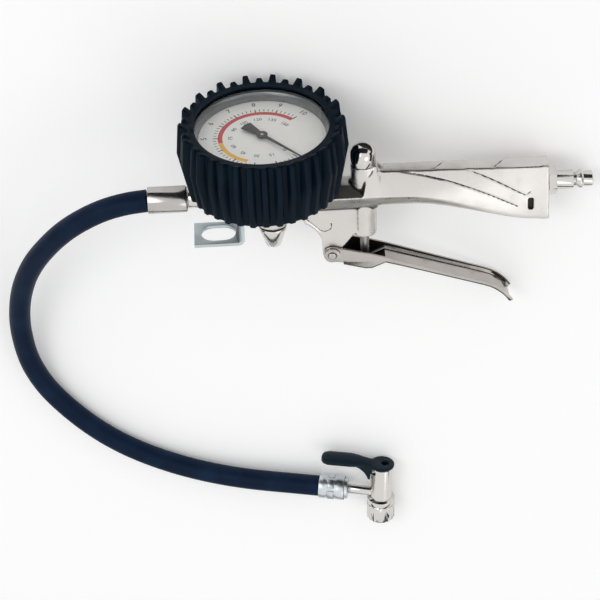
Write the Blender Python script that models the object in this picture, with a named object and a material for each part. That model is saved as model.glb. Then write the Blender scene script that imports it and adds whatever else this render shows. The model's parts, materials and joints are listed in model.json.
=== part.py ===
"""Hand-held tyre inflating gun with a dial gauge, a hose and a lock-on chuck, lying on its side.

The gun is modelled in its own frame, with X along the grip towards the air plug, Z along the gauge's axis and
Y across. An empty then lays it on the table, where +Z is up, on its boot, its lever's tip and its grip's heel.
"""

import math

import bmesh
import bpy
from mathutils import Matrix, Vector

MM = 0.001

# Clearances
SEAT = 0.3 * MM
RUN = 0.25 * MM

# Grip and casting, in the gun's frame
GRIP_LENGTH = 104.5 * MM
GRIP_TOP_Z = 14.9 * MM
GRIP_TOP_HALF = 4.6 * MM
GRIP_HALF_WIDTH = 11.2 * MM
GRIP_BOTTOM_HALF = 5.2 * MM
GRIP_BELLY_Z = -7.6 * MM
GRIP_HEEL_Z = -20.4 * MM
END_RIM_LENGTH = 4.0 * MM
END_RIM_STEP = 0.35 * MM
FRONT_TOP_Z = 6.0 * MM
GROOVE_WIDTH = 1.1 * MM
GROOVE_DEPTH = 0.6 * MM
SLOT_BEFORE_END = 10.3 * MM
SLOT_WIDTH = 3.0 * MM
SLOT_HEIGHT = 7.0 * MM
SLOT_DEPTH = 2.0 * MM

HOUSING_RADIUS = 12.0 * MM
HOUSING_TOP_Z = 7.0 * MM
HOUSING_BOTTOM_Z = -19.0 * MM
PORT_FACE_X = -12.5 * MM
PORT_RADIUS = 6.9 * MM
PORT_BORE = 5.4 * MM
PORT_DEPTH = 6.4 * MM

VALVE_RADIUS = 7.3 * MM
VALVE_BOTTOM_Z = -29.0 * MM
VALVE_SEAM_Z = 19.0 * MM
VALVE_CROWN_Z = 25.2 * MM
VALVE_DOME_HEIGHT = 6.5 * MM
CHAMBER_RADIUS = 4.9 * MM
CHAMBER_FLOOR_Z = -9.0 * MM
STEM_RADIUS = 2.6 * MM
POPPET_RADIUS = 4.3 * MM
POPPET_HEIGHT = 3.0 * MM
STEM_SEAL_HEIGHT = 1.6 * MM
SPRING_WIRE_RADIUS = 0.5 * MM
SPRING_TURNS = 5
CAP_SPIGOT = 4.0 * MM

PIVOT_BEFORE_VALVE = 19.2 * MM
PIVOT_Z = -39.5 * MM
PIN_RADIUS = 2.4 * MM
PIN_HEAD_RADIUS = 4.6 * MM
PIN_HEAD_HEIGHT = 1.4 * MM
CLIP_THICKNESS = 1.0 * MM
LUG_HALF = 6.2 * MM
LUG_END_RADIUS = 5.4 * MM

# Squeeze lever
LEVER_HALF_WIDTH = 8.0 * MM
LEVER_SHEET = 1.2 * MM
LEVER_STRAIGHT = 90.0 * MM
LEVER_SLOPE = math.radians(21.0)

# Gauge
CASE_RADIUS = 40.0 * MM
CASE_WALL = 1.2 * MM
CASE_DEPTH = 32.6 * MM
DIAL_DEPTH = 5.3 * MM
DIAL_SHEET = 0.8 * MM
BEZEL_BAND = 4.4 * MM
BEZEL_INNER_LOW = CASE_RADIUS - BEZEL_BAND
BEZEL_RIM = 1.2 * MM
LENS_THICKNESS = 2.0 * MM
SOCKET_RADIUS = 5.0 * MM
SOCKET_DEPTH = 9.0 * MM
SOCKET_NECK_RADIUS = 7.5 * MM
TUBE_RADIUS = 27.0 * MM
TUBE_WALL = 3.0 * MM
TUBE_HEIGHT = 8.0 * MM
BLOCK_HALF_WIDTH = 5.0 * MM
BLOCK_HEIGHT = 9.0 * MM
PLATE_SHEET = 1.2 * MM
PLATE_MARGIN = 2.6 * MM
PLATE_SPACING = 6.0 * MM
PILLAR_RADIUS = 1.4 * MM
ARBOR_RADIUS = 0.9 * MM
PINION_TEETH = 10
GEAR_RATIO = 5
TOOTH_PITCH = 1.6 * MM
TOOTH_ADDENDUM = 0.45 * MM
TOOTH_DEDENDUM = 0.65 * MM
GEAR_THICKNESS = 1.4 * MM
POINTER_SHORT_OF_BEZEL = 4.6 * MM
POINTER_LENGTH = BEZEL_INNER_LOW - POINTER_SHORT_OF_BEZEL
POINTER_TAIL = 13.0 * MM
POINTER_SHEET = 0.7 * MM
POINTER_LIFT = 1.5 * MM
POINTER_REST = math.radians(-47.0)

# Rubber boot
BOOT_STANDOFF = 2.0 * MM
BOOT_FLOOR = 3.0 * MM
BOOT_WALL = 2.4 * MM
BOOT_FLOOR_BAND = 10.0 * MM
BOOT_HOLE = CASE_RADIUS - BOOT_FLOOR_BAND
LIP_OVERLAP = 2.4 * MM
LIP_RADIUS = CASE_RADIUS - LIP_OVERLAP
LIP_THICKNESS = 1.0 * MM
RIB_PAIRS = 18
RIB_DEPTH = 5.4 * MM
RIB_TAPER = 1.5 * MM
RIB_BACK_SHARE = 0.3
RIB_RISE = 3.2 * MM
SMALL_RIB_DROP = 1.5 * MM
RIB_BASE_SHARE = 0.62
RIB_TIP_SHARE = 0.34
BOOT_VALLEY = CASE_RADIUS + SEAT + BOOT_WALL

# Places along the gun: the valve stands clear of the boot, and the grip and the pivot follow the valve
VALVE_CLEAR = 0.6 * MM
VALVE_X = BOOT_VALLEY + RIB_DEPTH + VALVE_CLEAR + VALVE_RADIUS
PIVOT_X = VALVE_X - PIVOT_BEFORE_VALVE
GRIP_END_X = VALVE_X + GRIP_LENGTH
SLOT_X = GRIP_END_X - SLOT_BEFORE_END

# Air plug, bottom plug, bracket and hose fitting
PLUG_HEX = 14.0 * MM
PLUG_HEX_LENGTH = 4.5 * MM
PLUG_BARREL_RADIUS = 5.4 * MM
PLUG_BARREL_LENGTH = 9.6 * MM
PLUG_GROOVE_RADIUS = 3.8 * MM
PLUG_GROOVE_LENGTH = 1.6 * MM
PLUG_COLLAR_RADIUS = 5.5 * MM
PLUG_COLLAR_LENGTH = 4.2 * MM
PLUG_TIP_RADIUS = 4.5 * MM
PLUG_TIP_LENGTH = 5.6 * MM
PLUG_BORE = 2.4 * MM
PLUG_SPIGOT_RADIUS = 4.6 * MM
PLUG_SPIGOT_LENGTH = 8.0 * MM
PLUG_SEAL_RADIUS = 6.2 * MM
SEAL_THICKNESS = 1.2 * MM
BOTTOM_X = 3.4 * MM
BOTTOM_BOSS_RADIUS = 9.2 * MM
BOTTOM_PLUG_RADIUS = 8.2 * MM
BOTTOM_PLUG_TIP = 4.4 * MM
BOTTOM_PLUG_LENGTH = 14.5 * MM
BOTTOM_SPIGOT = 4.6 * MM
BOTTOM_SPIGOT_LENGTH = 6.0 * MM
BRACKET_SHEET = 2.0 * MM
BRACKET_HALF_WIDTH = 10.5 * MM
BRACKET_REACH = 27.0 * MM
BRACKET_DROP = 27.5 * MM
BRACKET_SLOT_LENGTH = 20.0 * MM
BRACKET_SLOT_WIDTH = 14.0 * MM
BRACKET_SLOT_INSET = 4.0 * MM
FITTING_HEX = 14.0 * MM
FITTING_HEX_LENGTH = 9.0 * MM
FITTING_NECK_RADIUS = 5.6 * MM
FITTING_NECK_LENGTH = 18.0 * MM
SLEEVE_FLATS = 15.0 * MM
SLEEVE_LENGTH = 22.7 * MM
HOSE_RADIUS = 6.5 * MM

# Chuck, along its barrel's axis from the hose stem's axis
BARREL_RADIUS = 6.75 * MM
BARREL_TOP = 20.0 * MM
BARREL_BORE = 3.4 * MM
FLANGE_RADIUS = 8.65 * MM
FLANGE_TOP = -3.0 * MM
FLANGE_LENGTH = 4.0 * MM
NUT_RADIUS = 8.9 * MM
NUT_LENGTH = 11.7 * MM
NUT_RIDGES = 16
NUT_RIDGE_DEPTH = 0.5 * MM
NUT_THREAD_RADIUS = 6.0 * MM
NUT_THREAD_LENGTH = 3.0 * MM
MOUTH_RADIUS = 4.25 * MM
GASKET_THICKNESS = 1.8 * MM
GASKET_HOLE = 2.4 * MM
PLUNGER_TIP_RADIUS = 1.2 * MM
STEM_TUBE_RADIUS = 3.05 * MM
STEM_TUBE_LENGTH = 14.0 * MM
CHUCK_FERRULE_RADIUS = 7.6 * MM
CHUCK_FERRULE_LENGTH = 16.0 * MM
CHUCK_COLLAR_RADIUS = 6.5 * MM
CHUCK_COLLAR_LENGTH = 2.1 * MM
CHUCK_PIN_RADIUS = 1.1 * MM
CHUCK_PIN_X = -4.5 * MM
CHUCK_PIN_DROP = 3.0 * MM
CHUCK_SLOT_HALF = 2.3 * MM
CHUCK_SLOT_DEPTH = 11.4 * MM
HEAD_RADIUS = 7.75 * MM
HEAD_THICKNESS = 2.0 * MM
HEAD_GAP = 0.5 * MM
HEAD_HOLE = 2.6 * MM
PADDLE_LENGTH = 33.6 * MM
PADDLE_HALF_WIDTH = 6.4 * MM
PADDLE_HALF_THICKNESS = 3.2 * MM
CHUCK_PLACE = (-10.6 * MM, -219.0 * MM, NUT_RADIUS + 0.1 * MM)
CHUCK_TURN = (math.radians(-90), 0.0, math.radians(-2.5))

# Finishes: colour, roughness and metallic value
NICKEL = ((0.80, 0.78, 0.74), 0.16, 1.0)
STEEL = ((0.62, 0.60, 0.57), 0.22, 1.0)
ZINC = ((0.60, 0.64, 0.66), 0.36, 1.0)
BRASS = ((0.72, 0.54, 0.26), 0.30, 1.0)
CASE_PAINT = ((0.03, 0.03, 0.035), 0.40, 0.0)
RUBBER = ((0.012, 0.018, 0.024), 0.62, 0.0)
HOSE_RUBBER = ((0.010, 0.018, 0.034), 0.55, 0.0)
SEAL_RUBBER = ((0.02, 0.02, 0.02), 0.70, 0.0)
DIAL_WHITE = ((0.72, 0.74, 0.72), 0.50, 0.0)
BEZEL_GREY = ((0.16, 0.17, 0.18), 0.25, 0.6)
CLEAR_GLASS = ((0.90, 0.93, 0.93), 0.05, 0.0)
POINTER_BLACK = ((0.03, 0.03, 0.03), 0.45, 0.0)
LEVER_PLASTIC = ((0.014, 0.016, 0.020), 0.45, 0.0)

ROUND = 0
FINE_STEPS = 44
STEPS = 24
FEW_STEPS = 16
ALONG_X = (0.0, math.radians(90), 0.0)
BACK_X = (0.0, math.radians(-90), 0.0)
ALONG_Y = (math.radians(-90), 0.0, 0.0)
DOWN_Z = (math.radians(180), 0.0, 0.0)


def clear_scene():
    """Empties the scene of its objects."""
    for obj in list(bpy.data.objects):
        bpy.data.objects.remove(obj, do_unlink=True)


def smoothstep(low, high, value):
    """A smooth share from 0 at low to 1 at high."""
    share = min(max((value - low) / (high - low), 0.0), 1.0)
    return share * share * (3.0 - 2.0 * share)


def mix(first, second, share):
    """The value that lies this share of the way from first to second."""
    return first + (second - first) * share


def empty(name, parent=None, location=(0.0, 0.0, 0.0)):
    """An empty that carries pieces, such as a joint's axis."""
    holder = bpy.data.objects.new(name, None)
    holder.empty_display_size = 10 * MM
    bpy.context.scene.collection.objects.link(holder)
    holder.parent = parent
    holder.location = location
    return holder


def painted(name, finish):
    """A material of one finish."""
    colour, roughness, metallic = finish
    material = bpy.data.materials.new(name)
    material.use_nodes = True
    shader = material.node_tree.nodes["Principled BSDF"]
    shader.inputs["Base Color"].default_value = (*colour, 1.0)
    shader.inputs["Roughness"].default_value = roughness
    shader.inputs["Metallic"].default_value = metallic
    return material


def add(name, bm, finish, parent, location=(0.0, 0.0, 0.0), rotation=(0.0, 0.0, 0.0)):
    """An object of this mesh, closed, facing out and shaded smooth between its sharp edges."""
    bmesh.ops.remove_doubles(bm, verts=bm.verts, dist=1e-7)
    bmesh.ops.recalc_face_normals(bm, faces=bm.faces)
    mesh = bpy.data.meshes.new(name)
    bm.to_mesh(mesh)
    bm.free()
    mesh.shade_smooth()
    mesh.set_sharp_from_angle(angle=math.radians(32))
    mesh.materials.append(painted(name, finish))
    obj = bpy.data.objects.new(name, mesh)
    bpy.context.scene.collection.objects.link(obj)
    obj.parent = parent
    obj.location = location
    obj.rotation_euler = rotation
    return obj


def combine(target, other, operation):
    """Cuts other from target or joins it on, and hides it."""
    other.hide_render = True
    other.display_type = "WIRE"
    modifier = target.modifiers.new(other.name, "BOOLEAN")
    modifier.operation = operation
    modifier.solver = "EXACT"
    modifier.object = other


def loft(rings, closed=False):
    """A mesh through rings of equally many points, capped at both ends or closed on itself."""
    bm = bmesh.new()
    loops = [[bm.verts.new(point) for point in ring] for ring in rings]
    pairs = list(zip(loops, loops[1:]))
    if closed:
        pairs.append((loops[-1], loops[0]))
    for near, far in pairs:
        count = len(near)
        for index in range(count):
            follow = (index + 1) % count
            bm.faces.new((near[index], near[follow], far[follow], far[index]))
    if not closed:
        bm.faces.new(loops[0])
        bm.faces.new(loops[-1])
    return bm


def ring_radius(radius, sides, angle):
    """The radius at this angle of a circle, or of a polygon whose flats lie at radius."""
    if sides == ROUND:
        return radius
    pitch = math.tau / sides
    return radius / math.cos((angle + pitch / 2) % pitch - pitch / 2)


def stacked(rings, steps=STEPS, closed=False):
    """A mesh about Z through rings of (height, radius, sides), where a radius of 0 is a point on the axis."""
    outlines = []
    for height, radius, sides in rings:
        angles = [math.tau * index / steps for index in range(steps)]
        radii = [ring_radius(radius, sides, angle) for angle in angles]
        outlines.append([(r * math.cos(a), r * math.sin(a), height) for r, a in zip(radii, angles)])
    return loft(outlines, closed)


def tube_rings(inner, outer, low, high):
    """The four rings of a plain ring or sleeve, for stacked with closed set."""
    return [(low, inner, ROUND), (low, outer, ROUND), (high, outer, ROUND), (high, inner, ROUND)]


def rod_rings(radius, low, high):
    """The two rings of a plain round rod."""
    return [(low, radius, ROUND), (high, radius, ROUND)]


def prism(outline, low, high):
    """A plate of this XY outline between two heights."""
    bm = bmesh.new()
    face = bm.faces.new([bm.verts.new((x, y, low)) for x, y in outline])
    raised = bmesh.ops.extrude_face_region(bm, geom=[face])
    moved = [item for item in raised["geom"] if isinstance(item, bmesh.types.BMVert)]
    bmesh.ops.translate(bm, verts=moved, vec=(0.0, 0.0, high - low))
    return bm


def upright_prism(outline, half_width):
    """A plate of this XZ outline, as thick as twice half_width across Y."""
    bm = prism(outline, -half_width, half_width)
    bmesh.ops.rotate(bm, verts=bm.verts, cent=(0, 0, 0), matrix=Matrix.Rotation(math.radians(90), 3, "X"))
    return bm


def box(low, high):
    """A box between two corners."""
    outline = [(low[0], low[1]), (high[0], low[1]), (high[0], high[1]), (low[0], high[1])]
    return prism(outline, low[2], high[2])


def arc(centre, radius, start, end, count):
    """Points of an arc in a plane, from one angle in degrees to another."""
    angles = [math.radians(mix(start, end, index / count)) for index in range(count + 1)]
    return [(centre[0] + radius * math.cos(a), centre[1] + radius * math.sin(a)) for a in angles]


# Casting
FILLET = 3.8 * MM
GRIP_FROM_X = VALVE_X + 10.0 * MM
HEEL_START_X = VALVE_X + 26.0 * MM
HEEL_END_X = GRIP_END_X - 8.5 * MM
EDGE_START_Z = 1.2 * MM
EDGE_END_Z = -17.2 * MM
EDGE_START_X = VALVE_X + 22.0 * MM
EDGE_END_X = GRIP_END_X - 4.5 * MM
GRIP_END_SPREAD = 1.0 * MM
TOP_END_DROP = 1.3 * MM
SIDE_BULGE = 0.7 * MM
CORNER = 1.0 * MM


def fillet_at(x, radius):
    """How far a round fillet against the valve barrel stands off the grip at x."""
    run = min(max(x - (VALVE_X + VALVE_RADIUS), 0.0), radius)
    return radius - math.sqrt(radius * radius - (radius - run) ** 2)


def grip_section(x, grow=0.0):
    """Half of the grip's outline at x, as (y, z) points from the top to the bottom, on the +Y side."""
    along = (x - GRIP_FROM_X) / (GRIP_END_X - GRIP_FROM_X)
    spread = GRIP_END_SPREAD * min(max(along, 0.0), 1.0)
    if x < VALVE_X:
        top = FRONT_TOP_Z
    else:
        top = GRIP_TOP_Z - TOP_END_DROP * max(along, 0.0) + fillet_at(x, FILLET)
    bottom = mix(GRIP_BELLY_Z, GRIP_HEEL_Z, smoothstep(HEEL_START_X, HEEL_END_X, x))
    bottom -= fillet_at(x, 0.6 * FILLET)
    edge = mix(EDGE_START_Z, EDGE_END_Z, smoothstep(EDGE_START_X, EDGE_END_X, x))
    half = GRIP_HALF_WIDTH + spread + grow
    top_half = GRIP_TOP_HALF + spread
    top += grow
    bottom -= grow
    side_y = mix(top_half, half, 0.5) + SIDE_BULGE
    side_z = mix(top, edge, 0.5)
    under_y = mix(half, GRIP_BOTTOM_HALF + spread, 0.5) + SIDE_BULGE
    under_z = mix(edge, bottom, 0.5)
    return [
        (top_half - CORNER, top),
        (top_half, top - 0.4 * CORNER),
        (side_y, side_z),
        (half, edge + CORNER),
        (half - 0.4 * CORNER, edge - CORNER),
        (under_y, under_z),
        (GRIP_BOTTOM_HALF + spread, bottom),
    ]


def grip_ring(x, grow=0.0):
    """The grip's whole outline at x."""
    half = grip_section(x, grow)
    return [(x, y, z) for y, z in half] + [(x, -y, z) for y, z in reversed(half)]


def grip_mesh():
    """The grip, from the front housing to its flat end, with the rim round that end."""
    shoulder = VALVE_X + VALVE_RADIUS
    rim = GRIP_END_X - END_RIM_LENGTH
    stations = [2 * MM, VALVE_X - VALVE_RADIUS, VALVE_X - 1 * MM, VALVE_X + 1 * MM]
    stations += [shoulder + FILLET * share for share in (0.0, 0.08, 0.25, 0.55, 1.0)]
    count = 10
    stations += [mix(shoulder + FILLET, rim, index / count) for index in range(1, count + 1)]
    rings = [grip_ring(x) for x in stations]
    rings += [grip_ring(x, END_RIM_STEP) for x in (rim, GRIP_END_X)]
    return loft(rings)


def side_point(x, share):
    """A point on the grip's +Y side, at a share of the way from its top edge to its widest edge, and its normal."""
    half = grip_section(x)
    first, middle, last = (Vector((x, *point)) for point in (half[1], half[2], half[3]))
    if share < 0.5:
        point = first.lerp(middle, 2 * share)
    else:
        point = middle.lerp(last, 2 * share - 1)
    across = last - first
    normal = Vector((0.0, -across.z, across.y)).normalized()
    return point, normal


def groove(route, name, parent):
    """A square bar along points and normals, to be cut into a surface."""
    rings = []
    for index, (point, normal) in enumerate(route):
        before = route[max(index - 1, 0)][0]
        after = route[min(index + 1, len(route) - 1)][0]
        across = (after - before).cross(normal).normalized() * (GROOVE_WIDTH / 2)
        deep = point - normal * GROOVE_DEPTH
        high = point + normal * GROOVE_DEPTH * 2
        rings.append([deep - across, deep + across, high + across, high - across])
    return add(name, loft(rings), NICKEL, parent)


LONG_GROOVE = [(VALVE_X + 21.0 * MM, -0.02), (GRIP_END_X - 17.5 * MM, 0.81)]
SHORT_GROOVE = [(VALVE_X + 57.0 * MM, -0.02), (GRIP_END_X - 13.5 * MM, 0.55), (GRIP_END_X - 10.0 * MM, 0.46)]
GROOVES = {"long_groove": LONG_GROOVE, "short_groove": SHORT_GROOVE}
FRONT_NOTCH = (VALVE_X + 38.5 * MM, VALVE_X + 46.0 * MM)
REAR_NOTCH = (VALVE_X + 73.0 * MM, VALVE_X + 80.0 * MM)
TOP_NOTCHES = {"front_notch": FRONT_NOTCH, "rear_notch": REAR_NOTCH}


def groove_route(ends, side):
    """Points and normals of a groove through its ends, on the +Y or the -Y side of the grip."""
    pieces = 5
    route = []
    for first, second in zip(ends, ends[1:]):
        for index in range(pieces):
            share = index / pieces
            route.append((mix(first[0], second[0], share), mix(first[1], second[1], share)))
    route.append(ends[-1])
    found = [side_point(x, share) for x, share in route]
    flip = Vector((1.0, side, 1.0))
    return [(point * flip, normal * flip) for point, normal in found]


def notch_route(near_x, far_x):
    """Points and normals of a shallow line across the grip's flat top."""
    top = [grip_section(x)[0] for x in (near_x, far_x)]
    near = Vector((near_x, -top[0][0], top[0][1]))
    far = Vector((far_x, top[1][0], top[1][1]))
    return [(near.lerp(far, share), Vector((0.0, 0.0, 1.0))) for share in (-0.15, 0.5, 1.15)]


def lug_outline():
    """The web that carries the lever's pin, as XZ points: a concave front edge, a round end and the way back up."""
    pin = (PIVOT_X, PIVOT_Z)
    front = arc((PIVOT_X - 24 * MM, PIVOT_Z + 5 * MM), 19 * MM, 62, 0, 6)
    end = arc(pin, LUG_END_RADIUS, 165, 380, 10)
    back = [(VALVE_X - VALVE_RADIUS + 1 * MM, VALVE_BOTTOM_Z + 2 * MM), (VALVE_X, VALVE_BOTTOM_Z + 4 * MM)]
    inside = [(VALVE_X, 0.0), (PIVOT_X - 22 * MM, 0.0)]
    return front + end + back + inside


HOOK_CENTRE = (PIVOT_X - 3.8 * MM, PIVOT_Z + 19.7 * MM)
HOOK_RADIUS = 4.0 * MM
HOOK_START = (PIVOT_X - 14.3 * MM, PIVOT_Z + 25.2 * MM)


def hook_route(side):
    """The hook-shaped line on the lug's side: a straight run into a part of a circle."""
    points = [HOOK_START] + arc(HOOK_CENTRE, HOOK_RADIUS, 228, 385, 8)
    normal = Vector((0.0, side, 0.0))
    return [(Vector((x, side * LUG_HALF, z)), normal) for x, z in points]


def bore(name, radius, low, high, parent, location, rotation=(0.0, 0.0, 0.0), finish=NICKEL):
    """A round cutter."""
    return add(name, stacked(rod_rings(radius, low, high)), finish, parent, location, rotation)


def body_casting(gun):
    """The plated casting: grip, front housing, hose port, valve barrel and pivot lug, with its bores."""
    casting = add("body_casting", grip_mesh(), NICKEL, gun)
    housing = stacked([
        (HOUSING_BOTTOM_Z + 5 * MM, BOTTOM_BOSS_RADIUS + 0.6 * MM, ROUND),
        (HOUSING_BOTTOM_Z + 8 * MM, HOUSING_RADIUS, ROUND),
        (HOUSING_TOP_Z - 1 * MM, HOUSING_RADIUS, ROUND),
        (HOUSING_TOP_Z, HOUSING_RADIUS - 1 * MM, ROUND),
    ])
    boss = stacked(rod_rings(BOTTOM_BOSS_RADIUS, HOUSING_BOTTOM_Z, 0.0))
    port = stacked(rod_rings(PORT_RADIUS, 0.0, -PORT_FACE_X))
    barrel = stacked([
        (VALVE_BOTTOM_Z, VALVE_RADIUS - 0.6 * MM, ROUND),
        (VALVE_BOTTOM_Z + 0.6 * MM, VALVE_RADIUS, ROUND),
        (VALVE_SEAM_Z, VALVE_RADIUS, ROUND),
    ])
    joined = [
        add("housing_form", housing, NICKEL, gun),
        add("boss_form", boss, NICKEL, gun, (BOTTOM_X, 0.0, 0.0)),
        add("port_form", port, NICKEL, gun, rotation=BACK_X),
        add("barrel_form", barrel, NICKEL, gun, (VALVE_X, 0.0, 0.0)),
        add("lug_form", upright_prism(lug_outline(), LUG_HALF), NICKEL, gun),
    ]
    for piece in joined:
        combine(casting, piece, "UNION")
    for cutter in casting_cutters(gun):
        combine(casting, cutter, "DIFFERENCE")
    return casting


def stepped(name, steps, parent, location, rotation=(0.0, 0.0, 0.0)):
    """A round cutter of several radii, given as (radius, from, to), each starting where the last one ends."""
    rings = [(at, radius, ROUND) for radius, low, high in steps for at in (low, high)]
    return add(name, stacked(rings), NICKEL, parent, location, rotation)


def casting_cutters(gun):
    """The casting's bores, its grooves, its hook lines and its side slots."""
    past = 2 * MM
    port_end = PORT_FACE_X + PORT_DEPTH
    spigot_end = GRIP_END_X - PLUG_SPIGOT_LENGTH - SEAT
    seal_end = GRIP_END_X - SEAL_THICKNESS - SEAT
    air_way = [
        (PORT_BORE, PORT_FACE_X - past, port_end),
        (PLUG_BORE, port_end, spigot_end),
        (PLUG_SPIGOT_RADIUS + SEAT, spigot_end, seal_end),
        (PLUG_SEAL_RADIUS + SEAT, seal_end, GRIP_END_X + past),
    ]
    valve_way = [
        (STEM_RADIUS + RUN, VALVE_BOTTOM_Z - past, CHAMBER_FLOOR_Z),
        (CHAMBER_RADIUS, CHAMBER_FLOOR_Z, VALVE_SEAM_Z + past),
    ]
    bottom = (BOTTOM_X, 0, HOUSING_BOTTOM_Z)
    cutters = [
        stepped("air_cut", air_way, gun, (0, 0, 0), ALONG_X),
        stepped("valve_cut", valve_way, gun, (VALVE_X, 0, 0)),
        bore("socket_cut", SOCKET_RADIUS + SEAT, -SOCKET_DEPTH - SEAT, past, gun, (0, 0, HOUSING_TOP_Z)),
        bore("bottom_cut", BOTTOM_SPIGOT + SEAT, -past, BOTTOM_SPIGOT_LENGTH + SEAT, gun, bottom),
        bore("pin_cut", PIN_RADIUS + RUN, -LUG_HALF - past, LUG_HALF + past, gun, (PIVOT_X, 0, PIVOT_Z), ALONG_Y),
    ]
    for side, label in ((1.0, "far"), (-1.0, "near")):
        for name, ends in GROOVES.items():
            cutters.append(groove(groove_route(ends, side), f"{label}_{name}", gun))
        cutters.append(groove(hook_route(side), f"{label}_hook", gun))
        cutters.append(side_slot(side, f"{label}_slot", gun))
    for name, (near_x, far_x) in TOP_NOTCHES.items():
        cutters.append(groove(notch_route(near_x, far_x), name, gun))
    return cutters


def side_slot(side, name, gun):
    """The cutter of the narrow blind slot in the grip's heel, square to the side face."""
    point, normal = side_point(SLOT_X, 0.73)
    point.y *= side
    normal.y *= side
    size = (SLOT_WIDTH / 2, SLOT_HEIGHT / 2, SLOT_DEPTH)
    bm = box((-size[0], -size[1], -size[2]), size)
    turn = Matrix((Vector((1.0, 0.0, 0.0)), normal.cross(Vector((1.0, 0.0, 0.0))), normal)).transposed()
    bmesh.ops.rotate(bm, verts=bm.verts, cent=(0, 0, 0), matrix=turn)
    return add(name, bm, NICKEL, gun, point)


# Valve
SPRING_RADIUS = CHAMBER_RADIUS - SPRING_WIRE_RADIUS - 0.9 * MM
SEAL_LOW_Z = CHAMBER_FLOOR_Z + SEAT
POPPET_LOW_Z = SEAL_LOW_Z + STEM_SEAL_HEIGHT + SEAT
POPPET_HIGH_Z = POPPET_LOW_Z + POPPET_HEIGHT
SPIGOT_LOW_Z = VALVE_SEAM_Z + SEAT - CAP_SPIGOT


def valve_cap(gun):
    """The domed cap on the valve barrel, with the spigot that holds the spring down."""
    base = VALVE_SEAM_Z + SEAT
    rings = [(SPIGOT_LOW_Z, 0.0, ROUND), (SPIGOT_LOW_Z, CHAMBER_RADIUS - SEAT, ROUND)]
    rings += [(base, CHAMBER_RADIUS - SEAT, ROUND), (base, VALVE_RADIUS, ROUND)]
    count = 5
    for index in range(count + 1):
        angle = math.radians(90) * index / count
        height = VALVE_CROWN_Z + VALVE_DOME_HEIGHT * math.sin(angle)
        rings.append((height, VALVE_RADIUS * max(math.cos(angle), 0.0), ROUND))
    return add("valve_cap", stacked(rings), NICKEL, gun, (VALVE_X, 0.0, 0.0))


def valve_parts(gun, stem_axis):
    """The push rod with its poppet and seal, which slide, and the spring above them."""
    centre = lever_floor_z(VALVE_X) + (STEM_RADIUS + SEAT) / math.cos(CHEEK_SLOPE)
    count = 3
    rings = []
    for index in range(count + 1):
        angle = math.radians(90) * (1 - index / count)
        rings.append((centre - STEM_RADIUS * math.sin(angle), STEM_RADIUS * max(math.cos(angle), 0.0), ROUND))
    rings += [(POPPET_LOW_Z, STEM_RADIUS, ROUND), (POPPET_LOW_Z, POPPET_RADIUS, ROUND)]
    rings += [(POPPET_HIGH_Z, POPPET_RADIUS, ROUND), (POPPET_HIGH_Z, 0.0, ROUND)]
    add("valve_stem", stacked(rings), STEEL, stem_axis)
    seal = tube_rings(STEM_RADIUS + SEAT, POPPET_RADIUS, SEAL_LOW_Z, SEAL_LOW_Z + STEM_SEAL_HEIGHT)
    add("stem_seal", stacked(seal, FEW_STEPS, closed=True), SEAL_RUBBER, stem_axis)
    valve_spring(gun)


def valve_spring(gun):
    """The return spring, one unbroken coil between the poppet and the cap."""
    per_turn = 8
    low = POPPET_HIGH_Z + SEAT + SPRING_WIRE_RADIUS
    high = SPIGOT_LOW_Z - SEAT - SPRING_WIRE_RADIUS
    count = SPRING_TURNS * per_turn
    points = []
    for index in range(count + 1):
        angle = math.tau * index / per_turn
        along = mix(low, high, index / count)
        points.append(Vector((SPRING_RADIUS * math.cos(angle), SPRING_RADIUS * math.sin(angle), along)))
    far_apart = per_turn // 2
    gap = min((a - b).length for i, a in enumerate(points) for b in points[i + far_apart:])
    print(f"valve_spring least gap {(gap - 2 * SPRING_WIRE_RADIUS) / MM:.2f} mm")
    spring = tube("valve_spring", points, SPRING_WIRE_RADIUS, 1, STEEL, gun)
    spring.location = (VALVE_X, 0.0, 0.0)


def tube(name, points, radius, resolution, finish, parent):
    """A round tube with filled ends along points."""
    curve = bpy.data.curves.new(name, "CURVE")
    curve.dimensions = "3D"
    curve.bevel_depth = radius
    curve.bevel_resolution = resolution
    curve.use_fill_caps = True
    spline = curve.splines.new("POLY")
    spline.points.add(len(points) - 1)
    for place, point in zip(spline.points, points):
        place.co = (*point, 1.0)
    curve.materials.append(painted(name, finish))
    obj = bpy.data.objects.new(name, curve)
    bpy.context.scene.collection.objects.link(obj)
    obj.parent = parent
    return obj


# Squeeze lever: an ear on each side of the lug runs into one pressed channel, open towards the grip
CHEEK_SLOPE = math.radians(16.3)
CHEEK_DEPTH = 12.0 * MM
CHEEK_END_X = PIVOT_X + 27.2 * MM
FLANGE = 4.2 * MM
FLANGE_TIP = 3.2 * MM
CHEEK_FADE = (PIVOT_X + 20.2 * MM, PIVOT_X + 33.2 * MM)
CHEEK_TOP_Z = PIVOT_Z - 2.8 * MM
FLOOR_START_X = PIVOT_X + 6.5 * MM
CURL_START_X = PIVOT_X + LEVER_STRAIGHT
CURL_RADIUS = 30.0 * MM
CURL = math.radians(40.0)
CHANNEL_CORNER = 2.4 * MM


def lever_top_z(x):
    """The height of the lever's upper edge at x."""
    if x < CHEEK_END_X:
        return CHEEK_TOP_Z + (CHEEK_END_X - x) * math.tan(CHEEK_SLOPE)
    return CHEEK_TOP_Z - (x - CHEEK_END_X) * math.tan(LEVER_SLOPE)


def lever_depth(x):
    """How deep the lever's sides are at x: deep cheeks that fade into low flanges."""
    low = mix(FLANGE, FLANGE_TIP, smoothstep(CHEEK_FADE[1], CURL_START_X, x))
    return mix(CHEEK_DEPTH, low, smoothstep(*CHEEK_FADE, x))


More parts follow.
